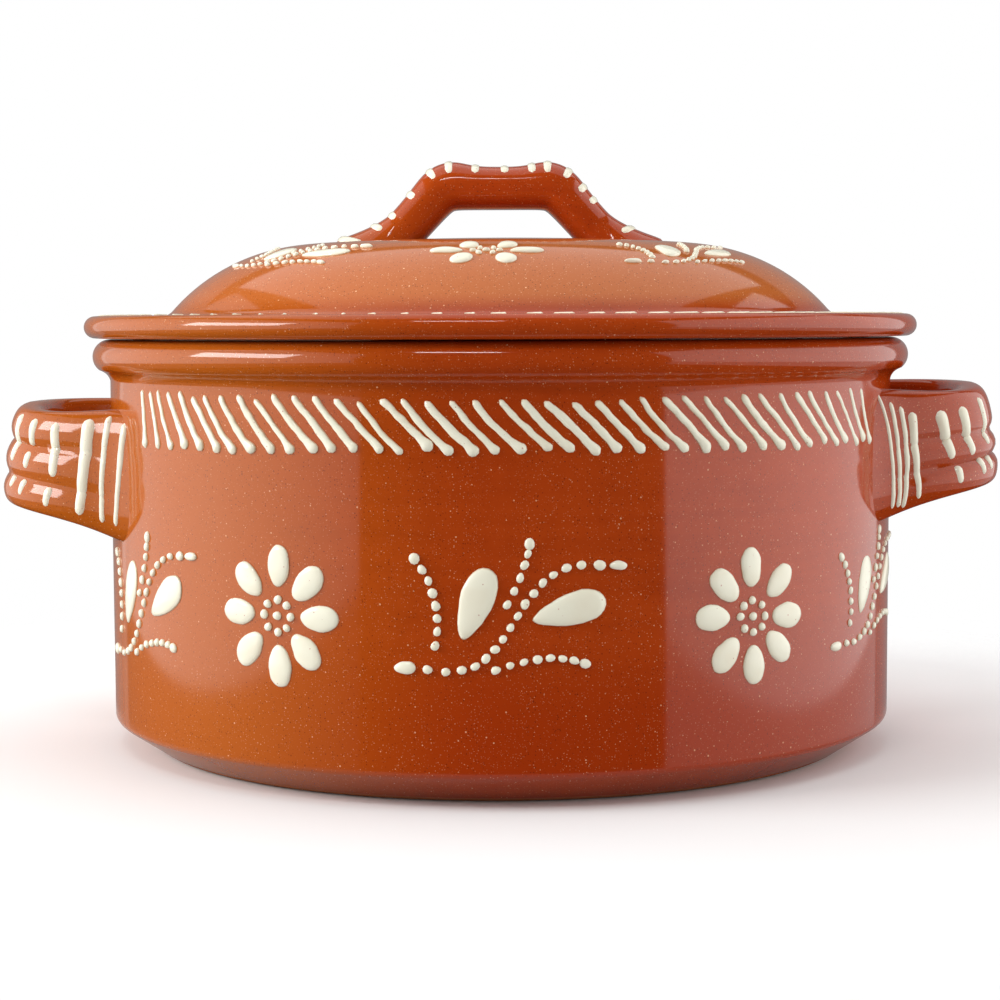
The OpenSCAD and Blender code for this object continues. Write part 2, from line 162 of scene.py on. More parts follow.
class LidSizes(bpy.types.PropertyGroup):
    """Sizes of the thrown lid."""
    overhang: length("Overhang", "How far the lid's edge stands out beyond the rim", 2.4)
    seat_gap: length("Seat gap", "Clearance between the flange and the rim", 0.3)
    flange_t: length("Flange thickness", "Thickness of the flange", 6.4)
    flange_w: length("Flange width", "Width of the flange from its edge to the dome", 24.4)
    dome_slope: angle("Dome slope", "Steepness of the dome where it meets the flange", 51)
    shoulder_r: length("Shoulder radius", "Radius of the dome's shoulder", 56)
    crown_r: length("Crown radius", "Radius of the flatter crown inside the shoulder", 1000)
    thickness: length("Thickness", "Thickness of the dome", 6)
    ring_depth: length("Ring depth", "Depth of the ring inside the mouth", 8)
    ring_t: length("Ring thickness", "Thickness of the ring inside the mouth", 6)
    ring_gap: length("Ring gap", "Clearance between the ring and the mouth", 1.5)


class LoopSizes(bpy.types.PropertyGroup):
    """Sizes of the two pulled straps at the sides."""
    reach: length("Reach", "How far the loops stand out from the wall", 31.3)
    width: length("Width", "Width of a loop between the middles of its ends", 76)
    square: number("Squareness", "Squareness of the loop, where 2 is an ellipse", 2.6)
    strap_t: length("Strap thickness", "Thickness of the strap", 10.5)
    strap_h: length("Strap height", "Height of the strap at the outside of the loop", 28)
    root_h: length("Root height", "Height of the strap where it meets the wall", 40)
    groove: length("Groove depth", "Depth of the two grooves between the ridges", 1.8)
    left_rate: number("Left groove rate", "How close together the left grooves are, where 1 is even", 0.95)
    left_shift: number("Left groove shift", "How far the left grooves sit below even places", 0.03)
    right_rate: number("Right groove rate", "How close together the right grooves are, where 1 is even", 1.3)
    right_shift: number("Right groove shift", "How far the right grooves sit below even places", 0.21)
    drop: length("Drop", "From the rim's top to the middle of the left strap", 32.5)
    root_drop: length("Root drop", "How much lower the strap's middle is at the wall", 7)
    lean: length("Lean", "How much further out the lower edge leans than the middle", 2.1)
    right_raise: length("Right raise", "How much higher the right loop sits", 5)
    edge_power: number("Edge roundness", "Power of the strap's section, where 2 is an ellipse", 3.5)
    root_swell: number("Root swell", "Share by which the strap thickens towards the wall", 0.3)
    tuck: length("Tuck", "How far the strap's outer face is pressed into the wall at its ends", 3)
    front_dip: length("Front dip", "How much lower the strap hangs at the front of the loop", 2.8)
    left_smear: number("Left smear", "How far the left ends are smoothed onto the wall", 1.5)
    right_smear: number("Right smear", "How far the right ends are smoothed onto the wall", 1.6)


class GripSizes(bpy.types.PropertyGroup):
    """Sizes of the bowed grip on the lid."""
    height: length("Height", "Height of the grip's middle above the dome", 15.2)
    share: number("Bend share", "Distance between the two bends beside the dome's diameter", 0.17)
    leg_slope: angle("Leg slope", "Slope of the legs", 47)
    bend_soft: length("Bend softness", "Length over which a bend turns", 1.5)
    thickness: length("Thickness", "Thickness of the grip", 12.6)
    width: length("Width", "Width of the grip from front to back", 24)
    foot_spread: length("Foot spread", "How far each foot spreads on the dome", 8.5)
    foot_sink: length("Foot sink", "How far the legs run down into the lid", 14)
    foot_hold: length("Foot hold", "How deep the feet's ends sit in the lid", 5)
    flare_low: length("Flare depth", "Depth below the dome's top at which a foot is fully spread", 4)
    flare_h: length("Flare height", "Height over which the feet spread", 8)
    hump_inset: length("Hump inset", "Distance of the humps inside the bends", 2)
    hump_w: length("Hump width", "Half length of a hump along the grip", 6)
    hump_h: length("Hump height", "Height of the humps on the upper side", 1.7)
    roundness: number("Roundness", "Power of the section, where 1 is an ellipse", 0.75)


class SlipSizes(bpy.types.PropertyGroup):
    """Sizes of the trailed slip."""
    rise: length("Rise", "Height of a dab of slip above the clay", 0.95)
    sprig_w: length("Sprig width", "Width of a sprig on the wall", 60)
    wall_step: angle("Wall step", "Angle between the motifs of the wall", 31)
    wall_turn: angle("Wall turn", "How far the front motifs are turned to the right", 1.5)
    lid_step: angle("Lid step", "Angle between the motifs of the lid", 46.5)
    lid_turn: angle("Lid turn", "How far the front motifs of the lid are turned to the right", -2.7)
    lid_drop: length("Lid drop", "Distance down the dome from the crown's edge to the motifs", 18)
    lid_fill: number("Lid fill", "Share that a sprig takes of the arc between the lid's motifs", 0.86)
    lid_flat: number("Lid flatness", "Height of the lid's motifs beside those of the wall", 0.52)
    motif_z: length("Motif height", "Height of the middles of the wall's motifs", 50.4)
    dot_d: length("Dot", "Diameter of a dot", 2.3)
    petal_l: length("Petal length", "Length of a petal", 10.6)
    petal_w: length("Petal width", "Width of a petal", 6.8)
    leaf_l: length("Leaf length", "Length of a leaf", 18.8)
    leaf_w: length("Leaf width", "Width of a leaf", 8.3)
    hatch_z: length("Hatch height", "Height of the middle of the hatched band", 97.6)
    hatch_h: length("Hatch band", "Height of the hatched band", 17)
    hatch_pitch: length("Hatch pitch", "Distance between the strokes of the band", 6.1)
    hatch_slant: angle("Hatch slant", "Steepness of the strokes", 45)
    hatch_span: angle("Hatch span", "Angle that the band covers on each side", 118.6)
    stroke_r: length("Stroke radius", "Radius of a stroke of the band", 1.04)
    dash_pitch: length("Dash pitch", "Distance between the dashes on the flange", 8.5)
    dash_l: length("Dash length", "Length of a dash on the flange", 7)
    dash_inset: length("Dash inset", "Distance of the dashes from the flange's rounded edge", 4)
    wobble: length("Wobble", "How far the slip's edges wander", 0.45)
    seed: IntProperty(name="Seed", description="Seed of the hand-drawn differences", default=11)


class FinishLook(bpy.types.PropertyGroup):
    """Colours and gloss of clay, glaze and slip."""
    clay: colour("Clay", "Fired red clay under the glaze", (0.46, 0.055, 0.0048, 1))
    clay_dark: colour("Dark clay", "Darker patches of the clay", (0.385, 0.042, 0.0032, 1))
    # Painted shade: darker, redder clay low on the wall, just above the bevel.
    clay_low_shade: colour("Deep clay", "Clay near the foot, under thicker glaze", (0.385, 0.036, 0.002, 1))
    # Painted light: paler clay on the lit dome of the lid.
    clay_lit_dome: colour("Pale clay", "Paler clay of the lid's dome", (0.55, 0.143, 0.028, 1))
    clay_lit_left: colour("Side clay", "Clay at the left, fired a little paler", (0.47, 0.113, 0.008, 1))
    # Painted light: paler clay at the lit left of the pot.
    clay_bare: colour("Bare clay", "Unglazed clay under the foot", (0.47, 0.17, 0.075, 1))
    fleck: colour("Fleck", "Pale mineral flecks in the clay", (0.95, 0.60, 0.33, 1))
    grit: colour("Grit", "Dark iron grit in the clay", (0.12, 0.016, 0.003, 1))
    slip: colour("Slip", "Cream slip under the glaze", (0.97, 0.945, 0.77, 1))
    slip_thin: colour("Thin slip", "Slip where the clay shows through its edge", (0.80, 0.64, 0.42, 1))
    glaze: number("Glaze", "Weight of the clear glaze", 1.0)
    glaze_ior: number("Glaze index", "Refractive index of the clear glaze", 1.5)
    glaze_rough: number("Glaze roughness", "Roughness of the clear glaze", 0.08)


class StageLook(bpy.types.PropertyGroup):
    """Camera, floor and lights."""
    camera: FloatVectorProperty(
        name="Camera",
        description="Place of the camera",
        default=(0, -0.68, 0.1234),
        subtype="TRANSLATION",
        unit="LENGTH",
    )
    pitch: angle("Pitch", "How far the camera looks down", 4.47)
    roll: angle("Roll", "How far the camera is rolled", 0.206)
    lens: FloatProperty(name="Lens", description="Focal length", default=81.6, unit="CAMERA")
    sensor: FloatProperty(name="Sensor", description="Width of the sensor", default=36, unit="CAMERA")
    floor_r: length("Floor radius", "Radius at which the pale floor has faded out", 330)
    floor_seen: colour("Floor", "Colour of the floor as the camera sees it", (0.97, 0.97, 0.97, 1))
    floor_lit: colour("Floor bounce", "Colour of the floor for bounced light", (0.62, 0.62, 0.62, 1))
    left_box: number("Left box", "Radiance of the large soft light at the left", 0.82)
    left_key: number("Left key", "Radiance of the smaller bright light at the left", 10)
    right_box: number("Right box", "Radiance of the large soft light at the right", 1.14)
    left_low: number("Left low", "Radiance of the left light below the table's height", 0.12)
    right_low: number("Right low", "Radiance of the right light below the table's height", 0.51)
    front_key: number("Front key", "Radiance of the small bright light above the camera", 18)
    top_box: number("Top box", "Radiance of the large soft light overhead", 0.85)
    back_box: number("Back box", "Radiance of the pale wall behind", 0.25)
    ambient: number("Ambient", "Strength of the light from all round", 0.31)
    mirrored: number("Mirrored", "Strength of the surroundings in the glaze", 0.03)


class Value:
    """An output socket. Arithmetic on it adds nodes to its tree."""

    def __init__(self, plan, socket):
        self.plan = plan
        self.socket = socket

    def maths(self, operation, first, second=0.0):
        """Adds a maths node."""
        return self.plan.node("ShaderNodeMath", {"operation": operation}, {0: first, 1: second}).out()

    def __add__(self, other):
        return self.maths("ADD", self, other)

    def __radd__(self, other):
        return self.maths("ADD", other, self)

    def __sub__(self, other):
        return self.maths("SUBTRACT", self, other)

    def __rsub__(self, other):
        return self.maths("SUBTRACT", other, self)

    def __mul__(self, other):
        return self.maths("MULTIPLY", self, other)

    def __rmul__(self, other):
        return self.maths("MULTIPLY", other, self)

    def __truediv__(self, other):
        return self.maths("DIVIDE", self, other)

    def __rtruediv__(self, other):
        return self.maths("DIVIDE", other, self)

    def __pow__(self, other):
        return self.maths("POWER", self, other)

    def __rpow__(self, other):
        return self.maths("POWER", other, self)

    def __neg__(self):
        return self.maths("MULTIPLY", self, -1.0)

    def least(self, other):
        """The smaller of two values."""
        return self.maths("MINIMUM", self, other)

    def most(self, other):
        """The larger of two values."""
        return self.maths("MAXIMUM", self, other)

    def above(self, other):
        """1 where this value is the larger one, otherwise 0."""
        return self.maths("GREATER_THAN", self, other)

    def sine(self):
        """Sine of an angle."""
        return self.maths("SINE", self)

    def cosine(self):
        """Cosine of an angle."""
        return self.maths("COSINE", self)


def socket_named(sockets, key):
    """Finds a socket by its place, its identifier or its name."""
    if isinstance(key, int):
        return sockets[key]
    for socket in sockets:
        if socket.identifier == key:
            return socket
    return sockets[key]


class Made:
    """A node that has been added to a plan."""

    def __init__(self, plan, node):
        self.plan = plan
        self.node = node

    def out(self, key=0):
        """One of the node's outputs."""
        return Value(self.plan, socket_named(self.node.outputs, key))


class Plan:
    """A node tree that is filled in by code."""

    def __init__(self, tree):
        self.tree = tree

    def feed(self, socket, value):
        """Links a value to a socket, or sets a constant on it."""
        if isinstance(value, list):
            for item in value:
                self.feed(socket, item)
        elif isinstance(value, Value):
            self.tree.links.new(value.socket, socket)
        else:
            socket.default_value = value

    def node(self, kind, settings=None, values=None):
        """Adds a node: settings first, then constants and links."""
        made = self.tree.nodes.new(kind)
        for name, setting in (settings or {}).items():
            setattr(made, name, setting)
        for key, value in (values or {}).items():
            self.feed(socket_named(made.inputs, key), value)
        return Made(self, made)

    def inputs(self, sockets):
        """Gives a geometry tree its named inputs and returns their values."""
        for name, kind in sockets:
            self.tree.interface.new_socket(name=name, in_out="INPUT", socket_type=kind)
        self.tree.interface.new_socket(name="Geometry", in_out="OUTPUT", socket_type="NodeSocketGeometry")
        group = self.node("NodeGroupInput")
        return {name: group.out(name) for name, kind in sockets}

    def split(self, vector):
        """The three parts of a vector."""
        made = self.node("ShaderNodeSeparateXYZ", None, {0: vector})
        return made.out("X"), made.out("Y"), made.out("Z")

    def join(self, x, y, z):
        """A vector from its three parts."""
        return self.node("ShaderNodeCombineXYZ", None, {"X": x, "Y": y, "Z": z}).out()

    def vector(self, operation, first, second):
        """Vector maths."""
        return self.node("ShaderNodeVectorMath", {"operation": operation}, {0: first, 1: second}).out()

    def noise(self, vector, scale, detail=2.0, output="Fac"):
        """Cloudy noise, from 0 to 1."""
        values = {"Vector": vector, "Scale": scale, "Detail": detail}
        return self.node("ShaderNodeTexNoise", None, values).out(output)

    def ramp(self, value, low, high, start=0.0, end=1.0):
        """Smooth step from start at low to end at high."""
        values = {"Value": value, "From Min": low, "From Max": high, "To Min": start, "To Max": end}
        return self.node("ShaderNodeMapRange", {"interpolation_type": "SMOOTHSTEP"}, values).out()

    def blend(self, factor, first, second):
        """Mix of two colours."""
        values = {"Factor_Float": factor, "A_Color": first, "B_Color": second}
        return self.node("ShaderNodeMix", {"data_type": "RGBA"}, values).out("Result_Color")

    def attribute(self, name, kind):
        """Named attribute of the mesh, inside a geometry tree."""
        made = self.node("GeometryNodeInputNamedAttribute", {"data_type": kind}, {"Name": name})
        return made.out("Attribute")


def new_material(name):
    """Empty material and the plan that fills it."""
    material = bpy.data.materials.new(name)
    material.use_nodes = True
    material.node_tree.nodes.clear()
    plan = Plan(material.node_tree)
    return material, plan


def finish_material(plan, shader):
    """Links a shader to the material's output."""
    plan.node("ShaderNodeOutputMaterial", None, {"Surface": shader})


def flecks(plan, place, cells, keep, radius, strength):
    """The strength inside small round flecks, and 0 between them."""
    made = plan.node("ShaderNodeTexVoronoi", None, {"Vector": place, "Scale": cells, "Randomness": 1.0})
    chance, size, spare = plan.split(made.out("Color"))
    return chance.above(1.0 - keep) * (radius * (0.5 + size)).above(made.out("Distance")) * strength


def glazed(plan, look, base, rough, relief, cover):
    """Ends a material: a body with a colour, a roughness and a relief, under a cover of clear glaze."""
    shader = plan.node("ShaderNodeBsdfPrincipled", None, {
        "Base Color": base,
        "Roughness": rough,
        "Specular IOR Level": 0.0,
        "Normal": plan.node("ShaderNodeBump", None, relief).out(),
        "Coat Weight": cover,
        "Coat Roughness": look.glaze_rough,
        "Coat IOR": look.glaze_ior,
    })
    finish_material(plan, shader.out())


def lid_clay_material(look):
    """Clay of the lid, with painted light that makes it paler on its dome than on its flange."""
    scene = bpy.context.scene
    dome = Dome(scene.pot_sizes, scene.lid_sizes)
    return clay_material(look, "lid_clay_under_glaze", dome.flange_top)


def clay_material(look, name="clay_under_glaze", lit_dome_from=ABOVE_ALL):
    """Red clay under clear glaze: blotches, wiping streaks, flecks, grit and an unglazed foot.

    Painted shade makes the clay darker low on the wall above the bevel. Painted light makes it paler at the
    left, and paler above the height given as the last argument.
    """
    low_shade_fade = (20 * MM, 50 * MM)
    bevel_fade = (7 * MM, 9 * MM)
    lit_left_fade = (-85 * MM, 0.0)
    lit_left_most = 0.85
    lit_dome_fade = (lit_dome_from, lit_dome_from + 6 * MM)
    bare_fade = (0.6 * MM, 1.6 * MM)
    material, plan = new_material(name)
    place = plan.node("ShaderNodeTexCoord").out("Object")
    x, y, z = plan.split(place)
    # Blotches, mottling and wiping streaks make one shade between the dark and the plain clay.
    blotch = plan.noise(place, 22.0, 4.0)
    mottle = plan.noise(place, 190.0, 3.0)
    streak = plan.noise(plan.join(x * 9.0, y * 9.0, z * 240.0), 1.0, 3.0)
    shade = plan.ramp(blotch * 0.5 + mottle * 0.2 + streak * 0.3, 0.36, 0.64)
    base = plan.blend(shade, tuple(look.clay_dark), tuple(look.clay))
    # Painted shade: darker low on the wall above the bevel. Painted light: paler at the left and on a dome.
    # The darker band low on the wall is painted shade.
    deep = plan.ramp(z, *low_shade_fade, 1.0, 0.0) * plan.ramp(z, *bevel_fade)
    base = plan.blend(deep, base, tuple(look.clay_low_shade))
    # The paler clay at the left is painted light.
    side = plan.ramp(x, *lit_left_fade, lit_left_most, 0.0)
    base = plan.blend(side, base, tuple(look.clay_lit_left))
    # The paler clay on the dome is painted light.
    pale = plan.ramp(z, *lit_dome_fade)
    base = plan.blend(pale, base, tuple(look.clay_lit_dome))
    # Pale flecks of three sizes, and dark grit.
    large, small, sand = (flecks(plan, place, *shape) for shape in PALE_FLECKS)
    # The mask of the painted light on the dome also makes the flecks stronger there.
    fleck = large.most(small).most(sand) * (1.0 + 0.7 * pale)
    base = plan.blend(fleck, base, tuple(look.fleck))
    base = plan.blend(flecks(plan, place, *DARK_GRIT), base, tuple(look.grit))
    # No glaze under the foot.
    bare = plan.ramp(z, *bare_fade, 1.0, 0.0)
    base = plan.blend(bare, base, tuple(look.clay_bare))
    # Relief under the glaze, grainier where the clay is bare.
    peel = plan.noise(place, 520.0, 2.0)
    grain = plan.noise(place, 1500.0, 2.0)
    rough = 0.30 + 0.16 * mottle + 0.35 * bare
    height = peel * 0.45 + streak * 0.35 + grain * 0.12 * (1.0 + 4.0 * bare) + fleck * 0.25
    relief = {"Strength": 0.32, "Distance": 0.12 * MM, "Height": height}
    glazed(plan, look, base, rough, relief, look.glaze * (1.0 - bare))
    return material


def slip_material(look):
    """Cream slip under the same glaze, thinner and browner at its edges."""
    material, plan = new_material("slip_under_glaze")
    place = plan.node("ShaderNodeTexCoord").out("Object")
    rise = plan.node("ShaderNodeAttribute", {"attribute_name": "rise"}).out("Fac")
    cloud = plan.noise(place, 320.0, 3.0)
    thin = plan.ramp(rise + 0.18 * cloud, 0.1, 0.42, 1.0, 0.0)
    warm = plan.ramp(plan.noise(place, 90.0, 2.0), 0.4, 0.75, 0.0, 0.22)
    base = plan.blend(warm, tuple(look.slip), tuple(look.slip_thin))
    base = plan.blend(thin, base, tuple(look.slip_thin))
    base = plan.blend(flecks(plan, place, *SLIP_SPECKS), base, tuple(look.clay))
    height = plan.noise(place, 700.0, 2.0)
    relief = {"Strength": 0.25, "Distance": 0.1 * MM, "Height": height}
    glazed(plan, look, base, 0.34 + 0.2 * cloud, relief, 1.0)
    return material


def material_named(name, maker):
    """The material of that name, made at its first use."""
    return bpy.data.materials.get(name) or maker(bpy.context.scene.finish_look)


def mix(first, second, t):
    """Value at t between two values."""
    return first + (second - first) * t


def bezier(points, t):
    """Point at t on the curve that the control points draw."""
    while len(points) > 1:
        points = [tuple(mix(a, b, t) for a, b in zip(p, q)) for p, q in zip(points, points[1:])]
    return points[0]


def arc(centre, radius, start, end, steps):
    """Points of an arc in a section, between two angles in degrees."""
    points = []
    for i in range(steps + 1):
        a = math.radians(mix(start, end, i / steps))
        points.append((centre[0] + radius * math.cos(a), centre[1] + radius * math.sin(a)))
    return points


def corner(before, at, after, cut, steps=8):
    """Points that round a section's corner."""
    here = Vector(at)
    first = here + cut * (Vector(before) - here).normalized()
    last = here + cut * (Vector(after) - here).normalized()
    return [bezier([tuple(first), tuple(at), tuple(last)], i / steps) for i in range(steps + 1)]


def line(start, end, steps):
    """Points of a straight stretch of a section, without its ends."""
    return [tuple(mix(a, b, i / steps) for a, b in zip(start, end)) for i in range(1, steps)]


def pot_section(pot):
    """Section of the pot from the axis round the outside to the inside of the floor."""
    wall, mouth, foot = pot.wall_r, pot.wall_r - pot.wall_t, pot.wall_r - pot.bevel_w
    neck = pot.height - pot.rim_h
    foot_cut, bevel_cut, lip_cut = 1.5 * MM, 1.3 * MM, 3 * MM
    rim = arc((wall, pot.height - pot.rim_r), pot.rim_r, -50, 90, 24)
    cove = [(wall, neck), (wall + 0.1 * pot.rim_r, mix(neck, rim[0][1], 0.7)), rim[0]]
    low, high = (foot, 0), (wall, pot.bevel_h)
    points = [(0, 0), (foot / 2, 0)]
    points += corner((0, 0), low, high, foot_cut)
    points += corner(low, high, (wall, neck), bevel_cut, 10)
    points += line(points[-1], (wall, neck), 24)
    points += [bezier(cove, i / 8) for i in range(8)]
    points += rim
    points += corner((wall, pot.height), (mouth, pot.height), (mouth, pot.floor_t), lip_cut)
    start = (mouth, pot.height - lip_cut)
    fillet = (mouth - pot.fillet, pot.floor_t + pot.fillet)
    points += line(start, (mouth, fillet[1]), 16)
    points += arc(fillet, pot.fillet, 0, -90, 12)
    return points + [(mouth / 2, pot.floor_t), (0, pot.floor_t)]


class Dome:
    """Derived sizes of the lid."""

    def __init__(self, pot, lid):
        self.lid = lid
        self.flange_r = pot.wall_r + pot.rim_r + lid.overhang
        self.flange_z = pot.height + lid.seat_gap
        self.flange_top = self.flange_z + lid.flange_t
        self.edge_r = lid.flange_t / 2
        self.dome_r = self.flange_r - lid.flange_w
        self.ring_r = pot.wall_r - pot.wall_t - lid.ring_gap
        self.shoulder_c = self.dome_r - lid.shoulder_r * math.sin(lid.dome_slope)
        self.shoulder_z = self.flange_top - lid.shoulder_r * math.cos(lid.dome_slope)
        across = lid.crown_r - lid.shoulder_r
        self.crown_slope = math.asin(self.shoulder_c / across)
        self.crown_z = self.shoulder_z - across * math.cos(self.crown_slope)
        self.top = self.crown_z + lid.crown_r
        self.crown_edge_r = lid.crown_r * math.sin(self.crown_slope)
        self.crown_edge_z = self.crown_z + lid.crown_r * math.cos(self.crown_slope)

    def line(self, depth):
        """Top of the dome from the axis out to the flange, at a depth below its surface."""
        crown = 90 - math.degrees(self.crown_slope)
        foot = 90 - math.degrees(self.lid.dome_slope)
        points = [(0, self.top - depth)]
        points += arc((0, self.crown_z), self.lid.crown_r - depth, 90, crown, 12)[1:]
        points += arc((self.shoulder_c, self.shoulder_z), self.lid.shoulder_r - depth, crown, foot, 32)[1:]
        return points

    def section(self):
        """Section of the lid from the axis over the outside to the underside of the dome."""
        dome_cut, ring_cut = 2 * MM, 1 * MM
        ring_in = self.ring_r - self.lid.ring_t
        low = self.flange_z - self.lid.ring_depth
        edge = (self.flange_r - self.edge_r, self.flange_z + self.edge_r)
        outside = self.line(0)
        foot = outside.pop()
        points = outside + corner(outside[-1], foot, (edge[0], self.flange_top), dome_cut, 5)
        points += line(points[-1], (edge[0], self.flange_top), 8)
        points += arc(edge, self.edge_r, 90, -90, 18)
        points += [(self.ring_r, self.flange_z)]
        points += corner((self.ring_r, self.flange_z), (self.ring_r, low), (ring_in, low), ring_cut, 4)
        points += corner((self.ring_r, low), (ring_in, low), (ring_in, self.flange_z), ring_cut, 4)
        points += [(ring_in, self.flange_z)]
        return points + list(reversed(self.line(self.lid.thickness)))


def hand_drift(turn, height, amount):
    """Slow wander of a thrown surface."""
    slow = math.sin(2 * turn + 1.3 + 9 * height)
    quick = math.sin(5 * turn + 0.4 - 31 * height)
    return amount * (0.7 * slow + 0.3 * quick)


def plain_mesh(name, points, faces, materials):
    """Smooth mesh object at the origin, with its place in its mesh."""
    mesh = bpy.data.meshes.new(name)
    mesh.from_pydata(points, [], faces)
    mesh.polygons.foreach_set("use_smooth", [True] * len(mesh.polygons))
    mesh.set_sharp_from_angle(angle=CREASE)
    for material in materials:
        mesh.materials.append(material)
    mesh.validate()
    mesh.update()
    piece = bpy.data.objects.new(name, mesh)
    bpy.context.collection.objects.link(piece)
    return piece


def lathe(name, section, segments, drift, material):
    """Closed turned solid. The section runs counter-clockwise from the axis and back to it."""
    # The wander dies out inside this radius.
    calm_r = 30 * MM
    points = [(0, 0, section[0][1]), (0, 0, section[-1][1])]
    rings = section[1:-1]
    for radius, height in rings:
        for k in range(segments):
            turn = TURN * k / segments
            r = radius + hand_drift(turn, height, drift) * min(1, radius / calm_r)
            points.append((r * math.cos(turn), r * math.sin(turn), height))
    faces = []
    last = 2 + (len(rings) - 1) * segments
    for k in range(segments):
        after = (k + 1) % segments
        faces.append((0, 2 + after, 2 + k))
        faces.append((1, last + k, last + after))
        for i in range(len(rings) - 1):
            a = 2 + i * segments
            b = a + segments
            faces.append((a + k, a + after, b + after, b + k))
    return plain_mesh(name, points, faces, [material])


def sweep(name, rings, material, flip=False):
    """Closed solid through a row of closed rings, with a fan at each end."""
    count = len(rings[0])
    points = [point for ring in rings for point in ring]
    faces = []
    for i in range(len(rings) - 1):
        for j in range(count):
            a = i * count + j
            b = i * count + (j + 1) % count
            faces.append((a, a + count, b + count, b))
    for ring, base in ((rings[0], 0), (rings[-1], (len(rings) - 1) * count)):
        middle = sum((Vector(point) for point in ring), Vector()) / count
        points.append(tuple(middle))
        for j in range(count):
            fan = (base + j, base + (j + 1) % count, len(points) - 1)
            faces.append(fan if base == 0 else tuple(reversed(fan)))
    if flip:
        faces = [tuple(reversed(face)) for face in faces]
    return plain_mesh(name, points, faces, [material])


def signed_power(value, power):
    """Power that keeps the sign."""
    return math.copysign(abs(value) ** power, value)


class Strap:
    """Surface of one pulled loop. side is -1 at the left and 1 at the right."""

    def __init__(self, pot, loop, side):
        self.loop = loop
        self.side = side
        self.half = loop.width / 2
        self.start = math.sqrt(pot.wall_r ** 2 - self.half ** 2) - loop.strap_t / 2
        self.out = pot.wall_r + loop.reach - loop.strap_t / 2
        self.middle_z = pot.height - loop.drop + (loop.right_raise if side > 0 else 0)
        self.smear = loop.right_smear if side > 0 else loop.left_smear
        self.rate = loop.right_rate if side > 0 else loop.left_rate
        self.shift = loop.right_shift if side > 0 else loop.left_shift

    def bulge(self, u):
        """0 at the wall, 1 at the outside of the loop."""
        return max(math.sin(math.pi * u), 0) ** (2 / self.loop.square)

    def path(self, u):
        """Middle of the strap in plan, from its front end to its back end."""
        x = mix(self.start, self.out, self.bulge(u))
        return Vector((x, -self.half * signed_power(math.cos(math.pi * u), 2 / self.loop.square)))

    def normal(self, u):
        """Direction away from the middle of the loop, in plan."""
        along = (self.path(min(u + NEAR, 1)) - self.path(max(u - NEAR, 0))).normalized()
        return Vector((along.y, -along.x))

    def point(self, u, w, face=1, grow=0.0):
        """Point of the strap: w runs up its height from -1 to 1, face is 1 outside and -1 inside."""
        loop = self.loop
        flare = (1 - self.bulge(u)) ** 2
        half = mix(loop.strap_h, loop.root_h, flare) / 2
        rise = math.sin(math.pi / 2 * w)
        edge = max(1 - abs(rise) ** loop.edge_power, 0) ** (1 / loop.edge_power)
        crest = 2 / 3
        shifted = min(max(self.rate * rise + self.shift * (1 - rise * rise), -crest), crest)
        ridge = 1 - abs(math.cos(math.pi / crest * shifted)) ** 0.8
        groove = loop.groove * (1 - flare) * ridge * edge if face > 0 else 0
        swell = 1 + loop.root_swell * flare + (self.smear * flare ** 4 if face > 0 else 0)
        offset = face * loop.strap_t / 2 * swell * edge - groove - loop.lean * (1 - flare) * rise + grow
        place = self.path(u) + self.normal(u) * offset
        if face > 0:
            place.x -= loop.tuck * flare ** 8
        dip = loop.front_dip * max(math.cos(math.pi * u), 0) * self.bulge(u) ** 0.3 * (1 - flare)
        middle = self.middle_z - loop.root_drop * flare - dip
        return (self.side * place.x, place.y, middle + half * rise)

    def ring(self, u, rows):
        """Points round the strap, up the outside and down the inside."""
        heights = [mix(-1, 1, (i + 0.5) / rows) for i in range(rows)]
        outside = [self.point(u, w) for w in heights]
        inside = [self.point(u, w, -1) for w in reversed(heights)]
        return outside + inside


class Grip:
    """Surface of the bowed grip on the lid."""

    def __init__(self, dome, grip):
        self.dome = dome
        self.grip = grip
        self.bend_x = grip.share * dome.dome_r
        self.rate = math.tan(grip.leg_slope)
        self.foot_x = self.bend_x + (grip.height + grip.foot_sink) / self.rate

    def path(self, u):
        """Middle of the grip in the plane of its bow, above the top of the dome."""
        x = mix(-self.foot_x, self.foot_x, u)
        past = (abs(x) - self.bend_x) / self.grip.bend_soft
        return Vector((x, self.grip.height - self.rate * self.grip.bend_soft * math.log1p(math.exp(past))))

    def point(self, u, v, grow=0.0):
        """Point of the grip: v turns from the front over the upper side to the back and the underside."""
        grip = self.grip
        here = self.path(u)
        along = (self.path(min(u + NEAR, 1)) - self.path(max(u - NEAR, 0))).normalized()
        flare = min(max(1 - (here.y + grip.flare_low) / grip.flare_h, 0), 1) ** 2
        out = signed_power(math.sin(v), grip.roundness)
        side = signed_power(math.cos(v), grip.roundness)
        spread = math.copysign(grip.foot_spread * flare * max(0, out), u - 0.5)
        hump = math.exp(-((abs(here.x) - self.bend_x + grip.hump_inset) / grip.hump_w) ** 2)
        thick = grip.thickness / 2 + grip.hump_h * hump * max(0, out) + grow
        side_share = 0.4
        wide = grip.width / 2 + side_share * grip.foot_spread * flare + grow
        x = here.x - along.y * thick * out + spread
        lowest = -grip.foot_hold
        return (x, -wide * side, self.dome.top + max(here.y + along.x * thick * out, lowest))

    def ring(self, u, sides):
        """Points round the grip."""
        return [self.point(u, TURN * (j + 0.5) / sides) for j in range(sides)]


